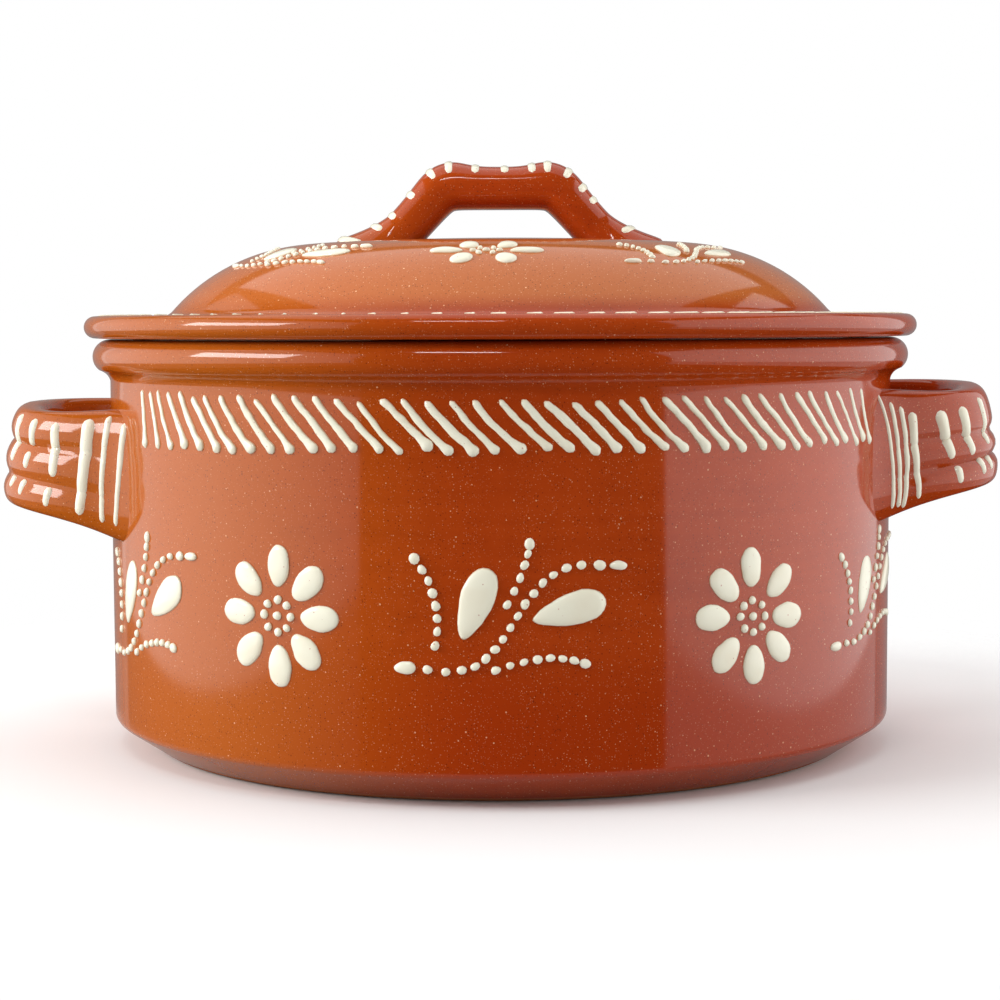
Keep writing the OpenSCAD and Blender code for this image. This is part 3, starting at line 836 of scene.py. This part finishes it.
class SlipPattern:
    """Flat layout of slip: single points that become dabs, and lines that become trails."""

    def __init__(self):
        self.points = []
        self.edges = []
        self.kinds = {kind: [] for kind in BEADS}
        self.size = []
        self.turn = []
        self.girth = []

    def add(self, point, kind, size, turn, girth):
        """Adds one point with what it carries."""
        self.points.append(tuple(point))
        for name, flags in self.kinds.items():
            flags.append(kind == name)
        self.size.extend(size)
        self.turn.append(turn)
        self.girth.append(girth)

    def dab(self, kind, x, y, long, wide, high, turn):
        """Adds a dab of slip, a dot, petal or leaf, that lies at x, y with its thick end turned from +x."""
        self.add((x, y, 0), kind, (long / 2, wide / 2, high), turn, 0)

    def trail(self, points, girths):
        """Adds a trail of slip through points, with a radius at each."""
        first = len(self.points)
        for point, girth in zip(points, girths):
            self.add(point, "trail", (0, 0, 0), 0, girth)
        self.edges += [(i, i + 1) for i in range(first, len(self.points) - 1)]

    def build(self, name):
        """Mesh object of the layout, with its attributes."""
        mesh = bpy.data.meshes.new(name)
        mesh.from_pydata(self.points, self.edges, [])
        for kind, flags in self.kinds.items():
            mesh.attributes.new("is_" + kind, "BOOLEAN", "POINT").data.foreach_set("value", flags)
        mesh.attributes.new("size", "FLOAT_VECTOR", "POINT").data.foreach_set("vector", self.size)
        mesh.attributes.new("turn", "FLOAT", "POINT").data.foreach_set("value", self.turn)
        mesh.attributes.new("girth", "FLOAT", "POINT").data.foreach_set("value", self.girth)
        piece = bpy.data.objects.new(name, mesh)
        bpy.context.collection.objects.link(piece)
        return piece


def stroke_girths(points, start, end, bulb=0.0):
    """Radii along a stroke from its start to its end, with round tips and a bulb at the end."""
    bulb_reach = 0.14
    tip_share = 0.3
    reach = [0.0]
    for before, after in zip(points, points[1:]):
        reach.append(reach[-1] + (Vector(after) - Vector(before)).length)
    girths = []
    for along in reach:
        t = along / reach[-1]
        radius = mix(start, end, t) * (1 + bulb * math.exp(-((1 - t) / bulb_reach) ** 2))
        from_tip = min(along, reach[-1] - along) / radius
        girths.append(radius * max(tip_share, math.sqrt(1 - (1 - min(from_tip, 1)) ** 2)))
    return girths


def slip_trails(plan, layout):
    """Tubes along the layout's lines, as thick as their girth."""
    spacing = 0.7 * MM
    girth = plan.attribute("girth", "FLOAT")
    curve = plan.node("GeometryNodeMeshToCurve", None, {"Mesh": layout}).out()
    values = {"Curve": curve, "Length": spacing}
    curve = plan.node("GeometryNodeResampleCurve", {"mode": "LENGTH"}, values).out()
    values = {"Resolution": TRAIL_SIDES, "Radius": 1.0}
    profile = plan.node("GeometryNodeCurvePrimitiveCircle", None, values).out()
    values = {"Curve": curve, "Profile Curve": profile, "Scale": girth, "Fill Caps": True}
    return plan.node("GeometryNodeCurveToMesh", None, values).out()


def slip_beads(plan, layout, kind, segments, rings, taper):
    """Low eggs of slip on the layout's points of one kind, thick towards +x by the taper."""
    tiny = 0.001
    fullness = -0.35
    values = {"Segments": segments, "Rings": rings, "Radius": 1.0}
    ball = plan.node("GeometryNodeMeshUVSphere", None, values).out()
    x, y, z = plan.split(plan.node("GeometryNodeInputPosition").out())
    far = (x * x + y * y) ** 0.5
    fuller = far.most(tiny) ** fullness
    egg = plan.join(x * fuller, y * fuller * (1.0 + taper * x), z)
    bead = plan.node("GeometryNodeSetPosition", None, {"Geometry": ball, "Position": egg}).out()
    turn = plan.join(0.0, 0.0, plan.attribute("turn", "FLOAT"))
    beads = plan.node("GeometryNodeInstanceOnPoints", None, {
        "Points": layout,
        "Selection": plan.attribute("is_" + kind, "BOOLEAN"),
        "Instance": bead,
        "Rotation": plan.node("FunctionNodeEulerToRotation", None, {0: turn}).out(),
        "Scale": plan.attribute("size", "FLOAT_VECTOR"),
    }).out()
    return plan.node("GeometryNodeRealizeInstances", None, {"Geometry": beads}).out()


def wandered(plan, place, amount):
    """Place moved a little by slow noise, as a hand would."""
    cloud = plan.noise(place, 260.0, 1.0, "Color")
    shift = plan.vector("SUBTRACT", cloud, (0.5, 0.5, 0.5))
    x, y, z = plan.split(shift)
    return plan.vector("ADD", place, plan.join(x * amount * 2.0, y * amount * 2.0, 0.0))


def dressed(plan, slip, material):
    """Ends a slip tree: real mesh, smooth, with its material."""
    slip = plan.node("GeometryNodeRealizeInstances", None, {"Geometry": slip}).out()
    slip = plan.node("GeometryNodeSetShadeSmooth", None, {"Geometry": slip}).out()
    slip = plan.node("GeometryNodeSetMaterial", None, {"Geometry": slip, "Material": material}).out()
    plan.node("NodeGroupOutput", None, {0: slip})


def stored_rise(plan, slip, rise):
    """Keeps each point's height above the clay for the material."""
    values = {"Geometry": slip, "Name": "rise", "Value": rise}
    kind = {"data_type": "FLOAT", "domain": "POINT"}
    return plan.node("GeometryNodeStoreNamedAttribute", kind, values).out()


def surface_slip_tree():
    """Tree that makes slip from a flat layout and bends it round a turned surface.

    x runs round the surface and y up it from an edge. Above the edge the surface is straight at the
    edge's slope, and below it follows an arc of the bend radius.
    """
    name = "slip_on_turned_surface"
    if name in bpy.data.node_groups:
        return bpy.data.node_groups[name]
    plan = Plan(bpy.data.node_groups.new(name, "GeometryNodeTree"))
    given = plan.inputs([
        ("Layout", "NodeSocketGeometry"),
        ("Turn Radius", "NodeSocketFloat"),
        ("Edge Radius", "NodeSocketFloat"),
        ("Edge Height", "NodeSocketFloat"),
        ("Edge Slope", "NodeSocketFloat"),
        ("Bend Radius", "NodeSocketFloat"),
        ("Full Rise", "NodeSocketFloat"),
        ("Wobble", "NodeSocketFloat"),
        ("Material", "NodeSocketMaterial"),
    ])
    beads = [slip_beads(plan, given["Layout"], kind, *shape) for kind, shape in BEADS.items()]
    trails = slip_trails(plan, given["Layout"])
    trail_flat = 0.72
    place = plan.node("GeometryNodeInputPosition").out()
    x, y, z = plan.split(place)
    trails = plan.node("GeometryNodeSetPosition", None, {
        "Geometry": trails,
        "Position": plan.join(x, y, z * trail_flat),
    }).out()
    slip = plan.node("GeometryNodeJoinGeometry", None, {0: beads + [trails]}).out()
    slip = stored_rise(plan, slip, z / given["Full Rise"])
    x, y, z = plan.split(wandered(plan, place, given["Wobble"]))
    around = x / given["Turn Radius"]
    down = -y
    straight = down.least(0.0)
    first = given["Edge Slope"]
    slope = first + down.most(0.0) / given["Bend Radius"]
    radius = given["Edge Radius"] + straight * first.cosine()
    radius = radius + given["Bend Radius"] * (slope.sine() - first.sine()) + z * slope.sine()
    height = given["Edge Height"] - straight * first.sine()
    height = height - given["Bend Radius"] * (first.cosine() - slope.cosine()) + z * slope.cosine()
    bent = plan.join(radius * around.sine(), -(radius * around.cosine()), height)
    slip = plan.node("GeometryNodeSetPosition", None, {"Geometry": slip, "Position": bent}).out()
    dressed(plan, slip, given["Material"])
    return plan.tree


def path_slip_tree():
    """Tree that makes slip trails along lines that already lie on a surface."""
    name = "slip_on_path"
    if name in bpy.data.node_groups:
        return bpy.data.node_groups[name]
    plan = Plan(bpy.data.node_groups.new(name, "GeometryNodeTree"))
    given = plan.inputs([
        ("Layout", "NodeSocketGeometry"),
        ("Wobble", "NodeSocketFloat"),
        ("Material", "NodeSocketMaterial"),
    ])
    slip = stored_rise(plan, slip_trails(plan, given["Layout"]), 1.0)
    place = plan.node("GeometryNodeInputPosition").out()
    moved = wandered(plan, place, given["Wobble"])
    slip = plan.node("GeometryNodeSetPosition", None, {"Geometry": slip, "Position": moved}).out()
    dressed(plan, slip, given["Material"])
    return plan.tree


def grow_slip(piece, tree, values):
    """Runs a slip tree on a layout and keeps its result as a plain mesh."""
    modifier = piece.modifiers.new("slip", "NODES")
    modifier.node_group = tree
    for item in tree.interface.items_tree:
        if item.in_out == "INPUT" and item.name in values:
            modifier[item.identifier] = values[item.name]
    depsgraph = bpy.context.evaluated_depsgraph_get()
    layout = piece.data
    mesh = bpy.data.meshes.new_from_object(piece.evaluated_get(depsgraph), depsgraph=depsgraph)
    if not mesh.polygons:
        raise RuntimeError("no slip was made for " + piece.name)
    piece.modifiers.clear()
    piece.data = mesh
    mesh.name = piece.name
    bpy.data.meshes.remove(layout)
    return piece


def settle(piece, body, nodes):
    """Says which body a piece moves with, and hides the nodes that it stands for."""
    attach(piece, body)
    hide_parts(*nodes)


def lay_slip(pattern, body, node, surface=None):
    """Makes slip of a layout, on a turned surface or along its own lines, in the place of a node."""
    slip = bpy.context.scene.slip_sizes
    # The strokes on the handles are steadier than the rest.
    steady = 0.4
    values = {"Material": material_named("slip_under_glaze", slip_material)}
    if surface is None:
        tree = path_slip_tree()
        values["Wobble"] = steady * slip.wobble
    else:
        tree = surface_slip_tree()
        values["Wobble"] = slip.wobble
        values["Full Rise"] = slip.rise
        values.update(surface)
    piece = grow_slip(pattern.build(node + "_slip"), tree, values)
    settle(piece, body, [node])


class Motif:
    """A place on a flat layout where a motif is drawn, with its size, lean and flatness."""

    def __init__(self, pattern, slip, chance, x, y, scale=1.0, lean=0.0, flat=1.0):
        self.pattern = pattern
        self.flat = flat
        self.slip = slip
        self.chance = chance
        self.x = x
        self.y = y
        self.scale = scale
        self.lean = lean

    def put(self, kind, x, y, long, wide, turn=0.0, high=1.0):
        """Puts a dot, petal or leaf at x, y of the motif."""
        slack = 0.03
        long = long * self.chance.uniform(1 - slack, 1 + slack)
        wide = wide * self.chance.uniform(1 - slack, 1 + slack)
        at_x = self.x + self.scale * x
        at_y = self.y + self.flat * self.scale * (y + self.lean * x)
        rise = self.slip.rise * high
        along, across = math.cos(turn), math.sin(turn)
        long *= math.hypot(along, self.flat * across)
        wide *= math.hypot(across, self.flat * along)
        turn = math.atan2(self.flat * across, along)
        self.pattern.dab(kind, at_x, at_y, self.scale * long, self.scale * wide, rise, turn)

    def flower(self, petals):
        """Petals round a ring of dots."""
        slip = self.slip
        petal_ring = 0.205 * slip.sprig_w
        dot_ring = 0.068 * slip.sprig_w
        for i in range(petals):
            a = TURN * i / petals + self.chance.uniform(-0.05, 0.05)
            reach = petal_ring * self.chance.uniform(0.97, 1.03)
            self.put("petal", reach * math.cos(a), reach * math.sin(a), slip.petal_l, slip.petal_w, a)
            self.put("dot", dot_ring * math.cos(a), dot_ring * math.sin(a), slip.dot_d, slip.dot_d, a, 0.9)
        self.put("dot", 0, 0, 1.1 * slip.dot_d, slip.dot_d)

    def stem(self, curve, dots):
        """Row of dots along a curve in shares of the sprig's width, with a larger first one."""
        slip = self.slip
        near = 0.02
        for i in range(dots):
            t = i / (dots - 1)
            x, y = bezier(curve, t)
            ahead = bezier(curve, min(1, t + near))
            behind = bezier(curve, max(0, t - near))
            turn = math.atan2(ahead[1] - behind[1], ahead[0] - behind[0])
            size = slip.dot_d * (1.25 if i == 0 else self.chance.uniform(0.92, 1.08))
            self.put("dot", slip.sprig_w * x, slip.sprig_w * y, 1.12 * size, 0.94 * size, turn, 0.9)

    def leaf(self, x, y, turn, long, wide, kind="leaf"):
        """One larger dab, at a place in shares of the sprig's width."""
        self.put(kind, self.slip.sprig_w * x, self.slip.sprig_w * y, long, wide, math.radians(turn))

    def sprig(self, tilt=15):
        """Two leaves and four dotted stems, the longest with a dab at each end. tilt is in degrees."""
        slip = self.slip
        self.stem([(-0.405, 0.21), (-0.278, 0.055), (-0.317, -0.155)], 8)
        self.stem([(0.081, 0.272), (0.071, 0.171), (-0.016, 0.018)], 6)
        self.stem([(0.379, 0.18), (-0.046, 0.223), (0.079, -0.34), (-0.35, -0.257)], 16)
        self.stem([(0.315, -0.234), (0.155, -0.174), (-0.064, -0.259)], 8)
        self.leaf(-0.148, 0.019, 70, slip.leaf_l, slip.leaf_w)
        self.leaf(0.25, -0.007, tilt, slip.leaf_l, slip.leaf_w)
        self.leaf(0.46, 0.177, 0, 2.2 * slip.dot_d, slip.dot_d, "petal")
        self.leaf(-0.449, -0.251, 0, 2.4 * slip.dot_d, 1.4 * slip.dot_d, "petal")


class POT_OT_shell(bpy.types.Operator):
    """Makes the thrown pot"""
    bl_idname = "clay_pot.shell"
    bl_label = "Pot"

    def execute(self, context):
        pot = context.scene.pot_sizes
        clay = material_named("clay_under_glaze", clay_material)
        piece = lathe("pot_shell", pot_section(pot), pot.segments, pot.drift, clay)
        settle(piece, "pot", ["pot_body"])
        return {"FINISHED"}


class POT_OT_loops(bpy.types.Operator):
    """Makes the two pulled straps at the sides"""
    bl_idname = "clay_pot.loops"
    bl_label = "Side handles"

    def execute(self, context):
        scene = context.scene
        clay = material_named("clay_under_glaze", clay_material)
        for side, name in ((-1, "left"), (1, "right")):
            strap = Strap(scene.pot_sizes, scene.loop_sizes, side)
            steps, rows = 96, 34
            rings = [strap.ring(i / steps, rows) for i in range(steps + 1)]
            piece = sweep(name + "_loop", rings, clay, side > 0)
            settle(piece, "pot", [name + "_handle"])
        return {"FINISHED"}


class POT_OT_lid(bpy.types.Operator):
    """Makes the thrown lid"""
    bl_idname = "clay_pot.lid"
    bl_label = "Lid"

    def execute(self, context):
        scene = context.scene
        dome = Dome(scene.pot_sizes, scene.lid_sizes)
        section = list(reversed(dome.section()))
        clay = material_named("lid_clay_under_glaze", lid_clay_material)
        piece = lathe("lid_shell", section, scene.pot_sizes.segments, scene.pot_sizes.drift, clay)
        settle(piece, "lid", ["lid"])
        return {"FINISHED"}


class POT_OT_grip(bpy.types.Operator):
    """Makes the bowed grip on the lid"""
    bl_idname = "clay_pot.grip"
    bl_label = "Lid handle"

    def execute(self, context):
        scene = context.scene
        grip = Grip(Dome(scene.pot_sizes, scene.lid_sizes), scene.grip_sizes)
        steps, sides = 120, 48
        first = 0.06
        rings = [grip.ring(mix(first, 1 - first, i / steps), sides) for i in range(steps + 1)]
        clay = material_named("clay_under_glaze", clay_material)
        piece = sweep("lid_grip", rings, clay, True)
        settle(piece, "lid", ["lid_handle"])
        return {"FINISHED"}


class POT_OT_wall_slip(bpy.types.Operator):
    """Trails the slip onto the wall: hatching, flowers and sprigs"""
    bl_idname = "clay_pot.wall_slip"
    bl_label = "Slip on the wall"

    def execute(self, context):
        slip = context.scene.slip_sizes
        wall_r = context.scene.pot_sizes.wall_r
        chance = random.Random(slip.seed)
        front_tilt, side_tilt = 15, 32
        flower_scale = 1.03
        hatching = SlipPattern()
        flowers = SlipPattern()
        sprigs = SlipPattern()
        for face, middle in (("front", slip.wall_turn), ("back", math.pi)):
            for step, drop in WALL_FLOWERS[face]:
                x = wall_r * (middle + step * slip.wall_step)
                z = slip.motif_z - drop * slip.sprig_w
                Motif(flowers, slip, chance, x, z, flower_scale).flower(8)
            for step, lean, drop, flat in WALL_SPRIGS[face]:
                x = wall_r * (middle + step * slip.wall_step)
                z = slip.motif_z - drop * slip.sprig_w
                tilt = side_tilt if abs(step) > 1 else front_tilt
                Motif(sprigs, slip, chance, x, z, 1.0, lean, flat).sprig(tilt)
            self.hatch(hatching, slip, chance, wall_r, middle)
        upright = {
            "Turn Radius": wall_r,
            "Edge Radius": wall_r,
            "Edge Height": 0.0,
            "Edge Slope": math.pi / 2,
            "Bend Radius": wall_r,
        }
        lay_slip(hatching, "pot", "wall_hatching", upright)
        lay_slip(flowers, "pot", "wall_flowers", upright)
        lay_slip(sprigs, "pot", "wall_sprigs", upright)
        return {"FINISHED"}

    def hatch(self, pattern, slip, chance, wall_r, middle):
        """Slanting strokes with a bulb at the lower end, steeper and longer at both ends of the band."""
        count = int(slip.hatch_span * wall_r / slip.hatch_pitch)
        middle_share = 0.83
        left_steep, left_reach = 38, 3.5
        right_steep, right_reach = 20, 1.5
        depth = -0.3 * MM
        steps = 24
        for i in range(count + 1):
            x = wall_r * middle + (i - count / 2) * slip.hatch_pitch + chance.uniform(-0.5, 0.5) * MM
            thick = slip.stroke_r * chance.uniform(0.86, 1.14)
            from_middle = abs(2 * i / count - 1)
            share = mix(middle_share, 1, from_middle ** 1.5)
            half_h = share * (slip.hatch_h / 2 - 0.7 * thick) * chance.uniform(0.95, 1.05)
            steeper = left_steep * math.exp(-i / left_reach)
            steeper += right_steep * math.exp((i - count) / right_reach)
            slant = slip.hatch_slant + math.radians(steeper)
            half_w = half_h / math.tan(slant) * chance.uniform(0.92, 1.06)
            z = slip.hatch_z + chance.uniform(-0.5, 0.5) * MM
            sag = chance.uniform(-0.5, 1.2) * MM
            curve = [(x - half_w, z + half_h), (x - sag, z - sag), (x + half_w, z - half_h)]
            points = [(*bezier(curve, k / steps), depth) for k in range(steps + 1)]
            pattern.trail(points, stroke_girths(points, 0.9 * thick, thick, chance.uniform(0.3, 0.8)))


class POT_OT_lid_slip(bpy.types.Operator):
    """Trails the slip onto the lid: flowers, sprigs and dashes round the flange"""
    bl_idname = "clay_pot.lid_slip"
    bl_label = "Slip on the lid"

    def execute(self, context):
        scene = context.scene
        slip = scene.slip_sizes
        shoulder_r = scene.lid_sizes.shoulder_r
        dome = Dome(scene.pot_sizes, scene.lid_sizes)
        chance = random.Random(slip.seed + 1)
        slope = dome.crown_slope + slip.lid_drop / shoulder_r
        turn_r = dome.shoulder_c + shoulder_r * math.sin(slope)
        scale = slip.lid_fill * turn_r * slip.lid_step / slip.sprig_w
        flowers = SlipPattern()
        sprigs = SlipPattern()
        for middle in (slip.lid_turn, math.pi):
            x = turn_r * middle
            Motif(flowers, slip, chance, x, -slip.lid_drop, scale, 0.0, slip.lid_flat).flower(6)
            for step in (-1, 1):
                x = turn_r * (middle + step * slip.lid_step)
                Motif(sprigs, slip, chance, x, -slip.lid_drop, scale, 0.0, slip.lid_flat).sprig()
        dashes = self.dashes(slip, chance, dome)
        on_dome = {
            "Turn Radius": turn_r,
            "Edge Radius": dome.crown_edge_r,
            "Edge Height": dome.crown_edge_z,
            "Edge Slope": dome.crown_slope,
            "Bend Radius": shoulder_r,
        }
        on_flange = {
            "Turn Radius": dome.flange_r,
            "Edge Radius": dome.flange_r - dome.edge_r,
            "Edge Height": dome.flange_top,
            "Edge Slope": 0.0,
            "Bend Radius": dome.edge_r,
        }
        lay_slip(flowers, "lid", "lid_flowers", on_dome)
        lay_slip(sprigs, "lid", "lid_sprigs", on_dome)
        lay_slip(dashes, "lid", "lid_rim_dashes", on_flange)
        return {"FINISHED"}

    def dashes(self, slip, chance, dome):
        """Short slanting dashes on the flat of the flange."""
        pattern = SlipPattern()
        count = int(TURN * dome.flange_r / slip.dash_pitch)
        slant = -60
        thin, thick = 0.42 * MM, 0.55 * MM
        steps = 12
        for i in range(count):
            x = TURN * dome.flange_r * i / count + chance.uniform(-0.6, 0.6) * MM
            y = slip.dash_inset + chance.uniform(-0.4, 0.4) * MM
            turn = math.radians(slant + chance.uniform(-7, 7))
            half = slip.dash_l / 2 * chance.uniform(0.9, 1.1)
            points = []
            for k in range(steps + 1):
                reach = mix(-half, half, k / steps)
                points.append((x + reach * math.cos(turn), y + reach * math.sin(turn), 0))
            pattern.trail(points, stroke_girths(points, thin, thick))
        return pattern


class POT_OT_handle_slip(bpy.types.Operator):
    """Trails the slip onto the two straps and the grip"""
    bl_idname = "clay_pot.handle_slip"
    bl_label = "Slip on the handles"

    def execute(self, context):
        scene = context.scene
        for side, name in ((-1, "left"), (1, "right")):
            strap = Strap(scene.pot_sizes, scene.loop_sizes, side)
            pattern = SlipPattern()
            for end in (0, 1):
                for top, bottom, bow in STRAP_STROKES[name]:
                    self.stroke(pattern, strap, end, top, bottom, bow)
            lay_slip(pattern, "pot", name + "_handle_stripes")
        grip = Grip(Dome(scene.pot_sizes, scene.lid_sizes), scene.grip_sizes)
        lay_slip(self.dashes(grip), "lid", "lid_handle_dashes")
        return {"FINISHED"}

    def stroke(self, pattern, strap, end, top, bottom, bow):
        """Stroke down the outer face of a strap, sunk by a share of its radius."""
        steps = 24
        sink = 0.66
        points = []
        for i in range(steps + 1):
            t = i / steps
            u, rise, girth = (mix(a, b, t) for a, b in zip(top, bottom))
            u += 4 * bow * t * (1 - t)
            w = math.asin(rise) * 2 / math.pi
            points.append(strap.point(abs(end - u), w, 1, -sink * girth * MM))
        pattern.trail(points, stroke_girths(points, top[2] * MM, bottom[2] * MM))

    def dashes(self, grip):
        """Strokes over the upper side of the grip, sunk into the clay."""
        pattern = SlipPattern()
        radius = 1.95 * MM
        sink = 1.5 * MM
        front, back = 20, 160
        steps = 20
        turns = [math.radians(mix(front, back, i / steps)) for i in range(steps + 1)]
        for x in GRIP_DASHES:
            at = (x * MM / grip.foot_x + 1) / 2
            points = [grip.point(at, v, -sink) for v in turns]
            pattern.trail(points, stroke_girths(points, radius, radius))
        return pattern


class POT_OT_stage(bpy.types.Operator):
    """Sets up the floor, the soft lights and the camera"""
    bl_idname = "clay_pot.stage"
    bl_label = "Stage"

    def execute(self, context):
        stage = context.scene.stage_look
        self.floor(stage)
        for name, (size, place, aim_height, spread) in LIGHTS.items():
            self.soft_light(name, getattr(stage, name), size, place, aim_height, spread)
        self.world(context.scene, stage)
        self.camera(context.scene, stage)
        context.scene.view_settings.view_transform = "Standard"
        return {"FINISHED"}

    def floor(self, stage):
        """Pale disc that fades out into the white round it. The glaze shows only what is close to the pot."""
        fade_from = 0.55 * stage.floor_r
        glaze_fade = (0.37 * stage.floor_r, 0.46 * stage.floor_r)
        material, plan = new_material("pale_floor")
        x, y, z = plan.split(plan.node("ShaderNodeTexCoord").out("Object"))
        far = (x * x + y * y) ** 0.5
        seen = plan.node("ShaderNodeLightPath").out("Is Camera Ray")
        tint = plan.blend(seen, tuple(stage.floor_lit), tuple(stage.floor_seen))
        paper = plan.node("ShaderNodeBsdfDiffuse", None, {"Color": tint}).out()
        clear = plan.node("ShaderNodeBsdfTransparent").out()
        glossy = plan.node("ShaderNodeLightPath").out("Is Glossy Ray")
        fade = plan.ramp(far, fade_from, stage.floor_r)
        fade = fade.most(glossy * plan.ramp(far, *glaze_fade))
        finish_material(plan, plan.node("ShaderNodeMixShader", None, {0: fade, 1: paper, 2: clear}).out())
        sides = 96
        depth = -0.2 * MM
        points = [(0, 0, depth)]
        for k in range(sides):
            turn = TURN * k / sides
            points.append((stage.floor_r * math.cos(turn), stage.floor_r * math.sin(turn), depth))
        faces = [(0, 1 + k, 1 + (k + 1) % sides) for k in range(sides)]
        disc = plain_mesh("pale_floor", points, faces, [material])

    def soft_light(self, name, radiance, size, place, aim_height, spread):
        """Rectangle of light at a distance, an angle from the front and a height. It faces the pot's axis."""
        distance, azimuth, height = place
        lamp = bpy.data.lights.new(name, "AREA")
        lamp.shape = "RECTANGLE"
        lamp.size, lamp.size_y = size
        lamp.energy = radiance * math.pi * size[0] * size[1]
        lamp.spread = math.radians(spread)
        turn = math.radians(azimuth)
        holder = bpy.data.objects.new(name, lamp)
        holder.location = (distance * math.sin(turn), -distance * math.cos(turn), height)
        aim = Vector((0, 0, aim_height)) - holder.location
        holder.rotation_euler = aim.to_track_quat("-Z", "Y").to_euler()
        holder.visible_camera = False
        bpy.context.collection.objects.link(holder)

    def world(self, scene, stage):
        """White to the camera, dim to everything else and dimmer still in the glaze."""
        world = bpy.data.worlds.new("studio")
        world.use_nodes = True
        world.node_tree.nodes.clear()
        plan = Plan(world.node_tree)
        path = plan.node("ShaderNodeLightPath")
        seen = path.out("Is Camera Ray").most(path.out("Is Transmission Ray"))
        glossy = path.out("Is Glossy Ray")
        dim = glossy * stage.mirrored + (1.0 - glossy) * stage.ambient
        strength = seen + (1.0 - seen) * dim
        shader = plan.node("ShaderNodeBackground", None, {"Color": (1, 1, 1, 1), "Strength": strength}).out()
        plan.node("ShaderNodeOutputWorld", None, {"Surface": shader})
        scene.world = world

    def camera(self, scene, stage):
        """Camera that stands where the photograph was taken."""
        camera = bpy.data.cameras.new("camera")
        camera.lens = stage.lens
        camera.sensor_width = stage.sensor
        camera.clip_start = 0.01
        holder = bpy.data.objects.new("camera", camera)
        holder.location = stage.camera
        holder.rotation_euler = (math.pi / 2 - stage.pitch, stage.roll, 0)
        bpy.context.collection.objects.link(holder)
        scene.camera = holder


class POT_PT_panel(bpy.types.Panel):
    """Buttons that build the pot piece by piece"""
    bl_idname = "POT_PT_panel"
    bl_label = "Clay pot"
    bl_space_type = "VIEW_3D"
    bl_region_type = "UI"
    bl_category = "Clay pot"

    def draw(self, context):
        for operator in OPERATORS:
            self.layout.operator(operator.bl_idname)
        for name in GROUPS:
            box = self.layout.box()
            group = getattr(context.scene, name)
            for field in group.__annotations__:
                box.prop(group, field)


GROUPS = {
    "pot_sizes": PotSizes,
    "lid_sizes": LidSizes,
    "loop_sizes": LoopSizes,
    "grip_sizes": GripSizes,
    "slip_sizes": SlipSizes,
    "finish_look": FinishLook,
    "stage_look": StageLook,
}
OPERATORS = (
    POT_OT_shell,
    POT_OT_loops,
    POT_OT_lid,
    POT_OT_grip,
    POT_OT_wall_slip,
    POT_OT_lid_slip,
    POT_OT_handle_slip,
    POT_OT_stage,
)


def register():
    """Registers the classes and hangs the sizes on the scene."""
    for name, group in GROUPS.items():
        bpy.utils.register_class(group)
        setattr(bpy.types.Scene, name, PointerProperty(type=group))
    for operator in OPERATORS:
        bpy.utils.register_class(operator)
    bpy.utils.register_class(POT_PT_panel)


def unregister():
    """Takes everything off again."""
    bpy.utils.unregister_class(POT_PT_panel)
    for operator in reversed(OPERATORS):
        bpy.utils.unregister_class(operator)
    for name, group in reversed(list(GROUPS.items())):
        delattr(bpy.types.Scene, name)
        bpy.utils.unregister_class(group)


def main():
    """Builds the pot, its slip and the stage, in order."""
    register()
    bpy.ops.clay_pot.shell()
    bpy.ops.clay_pot.loops()
    bpy.ops.clay_pot.lid()
    bpy.ops.clay_pot.grip()
    bpy.ops.clay_pot.wall_slip()
    bpy.ops.clay_pot.lid_slip()
    bpy.ops.clay_pot.handle_slip()
    bpy.ops.clay_pot.stage()


if __name__ == "__main__":
    main()
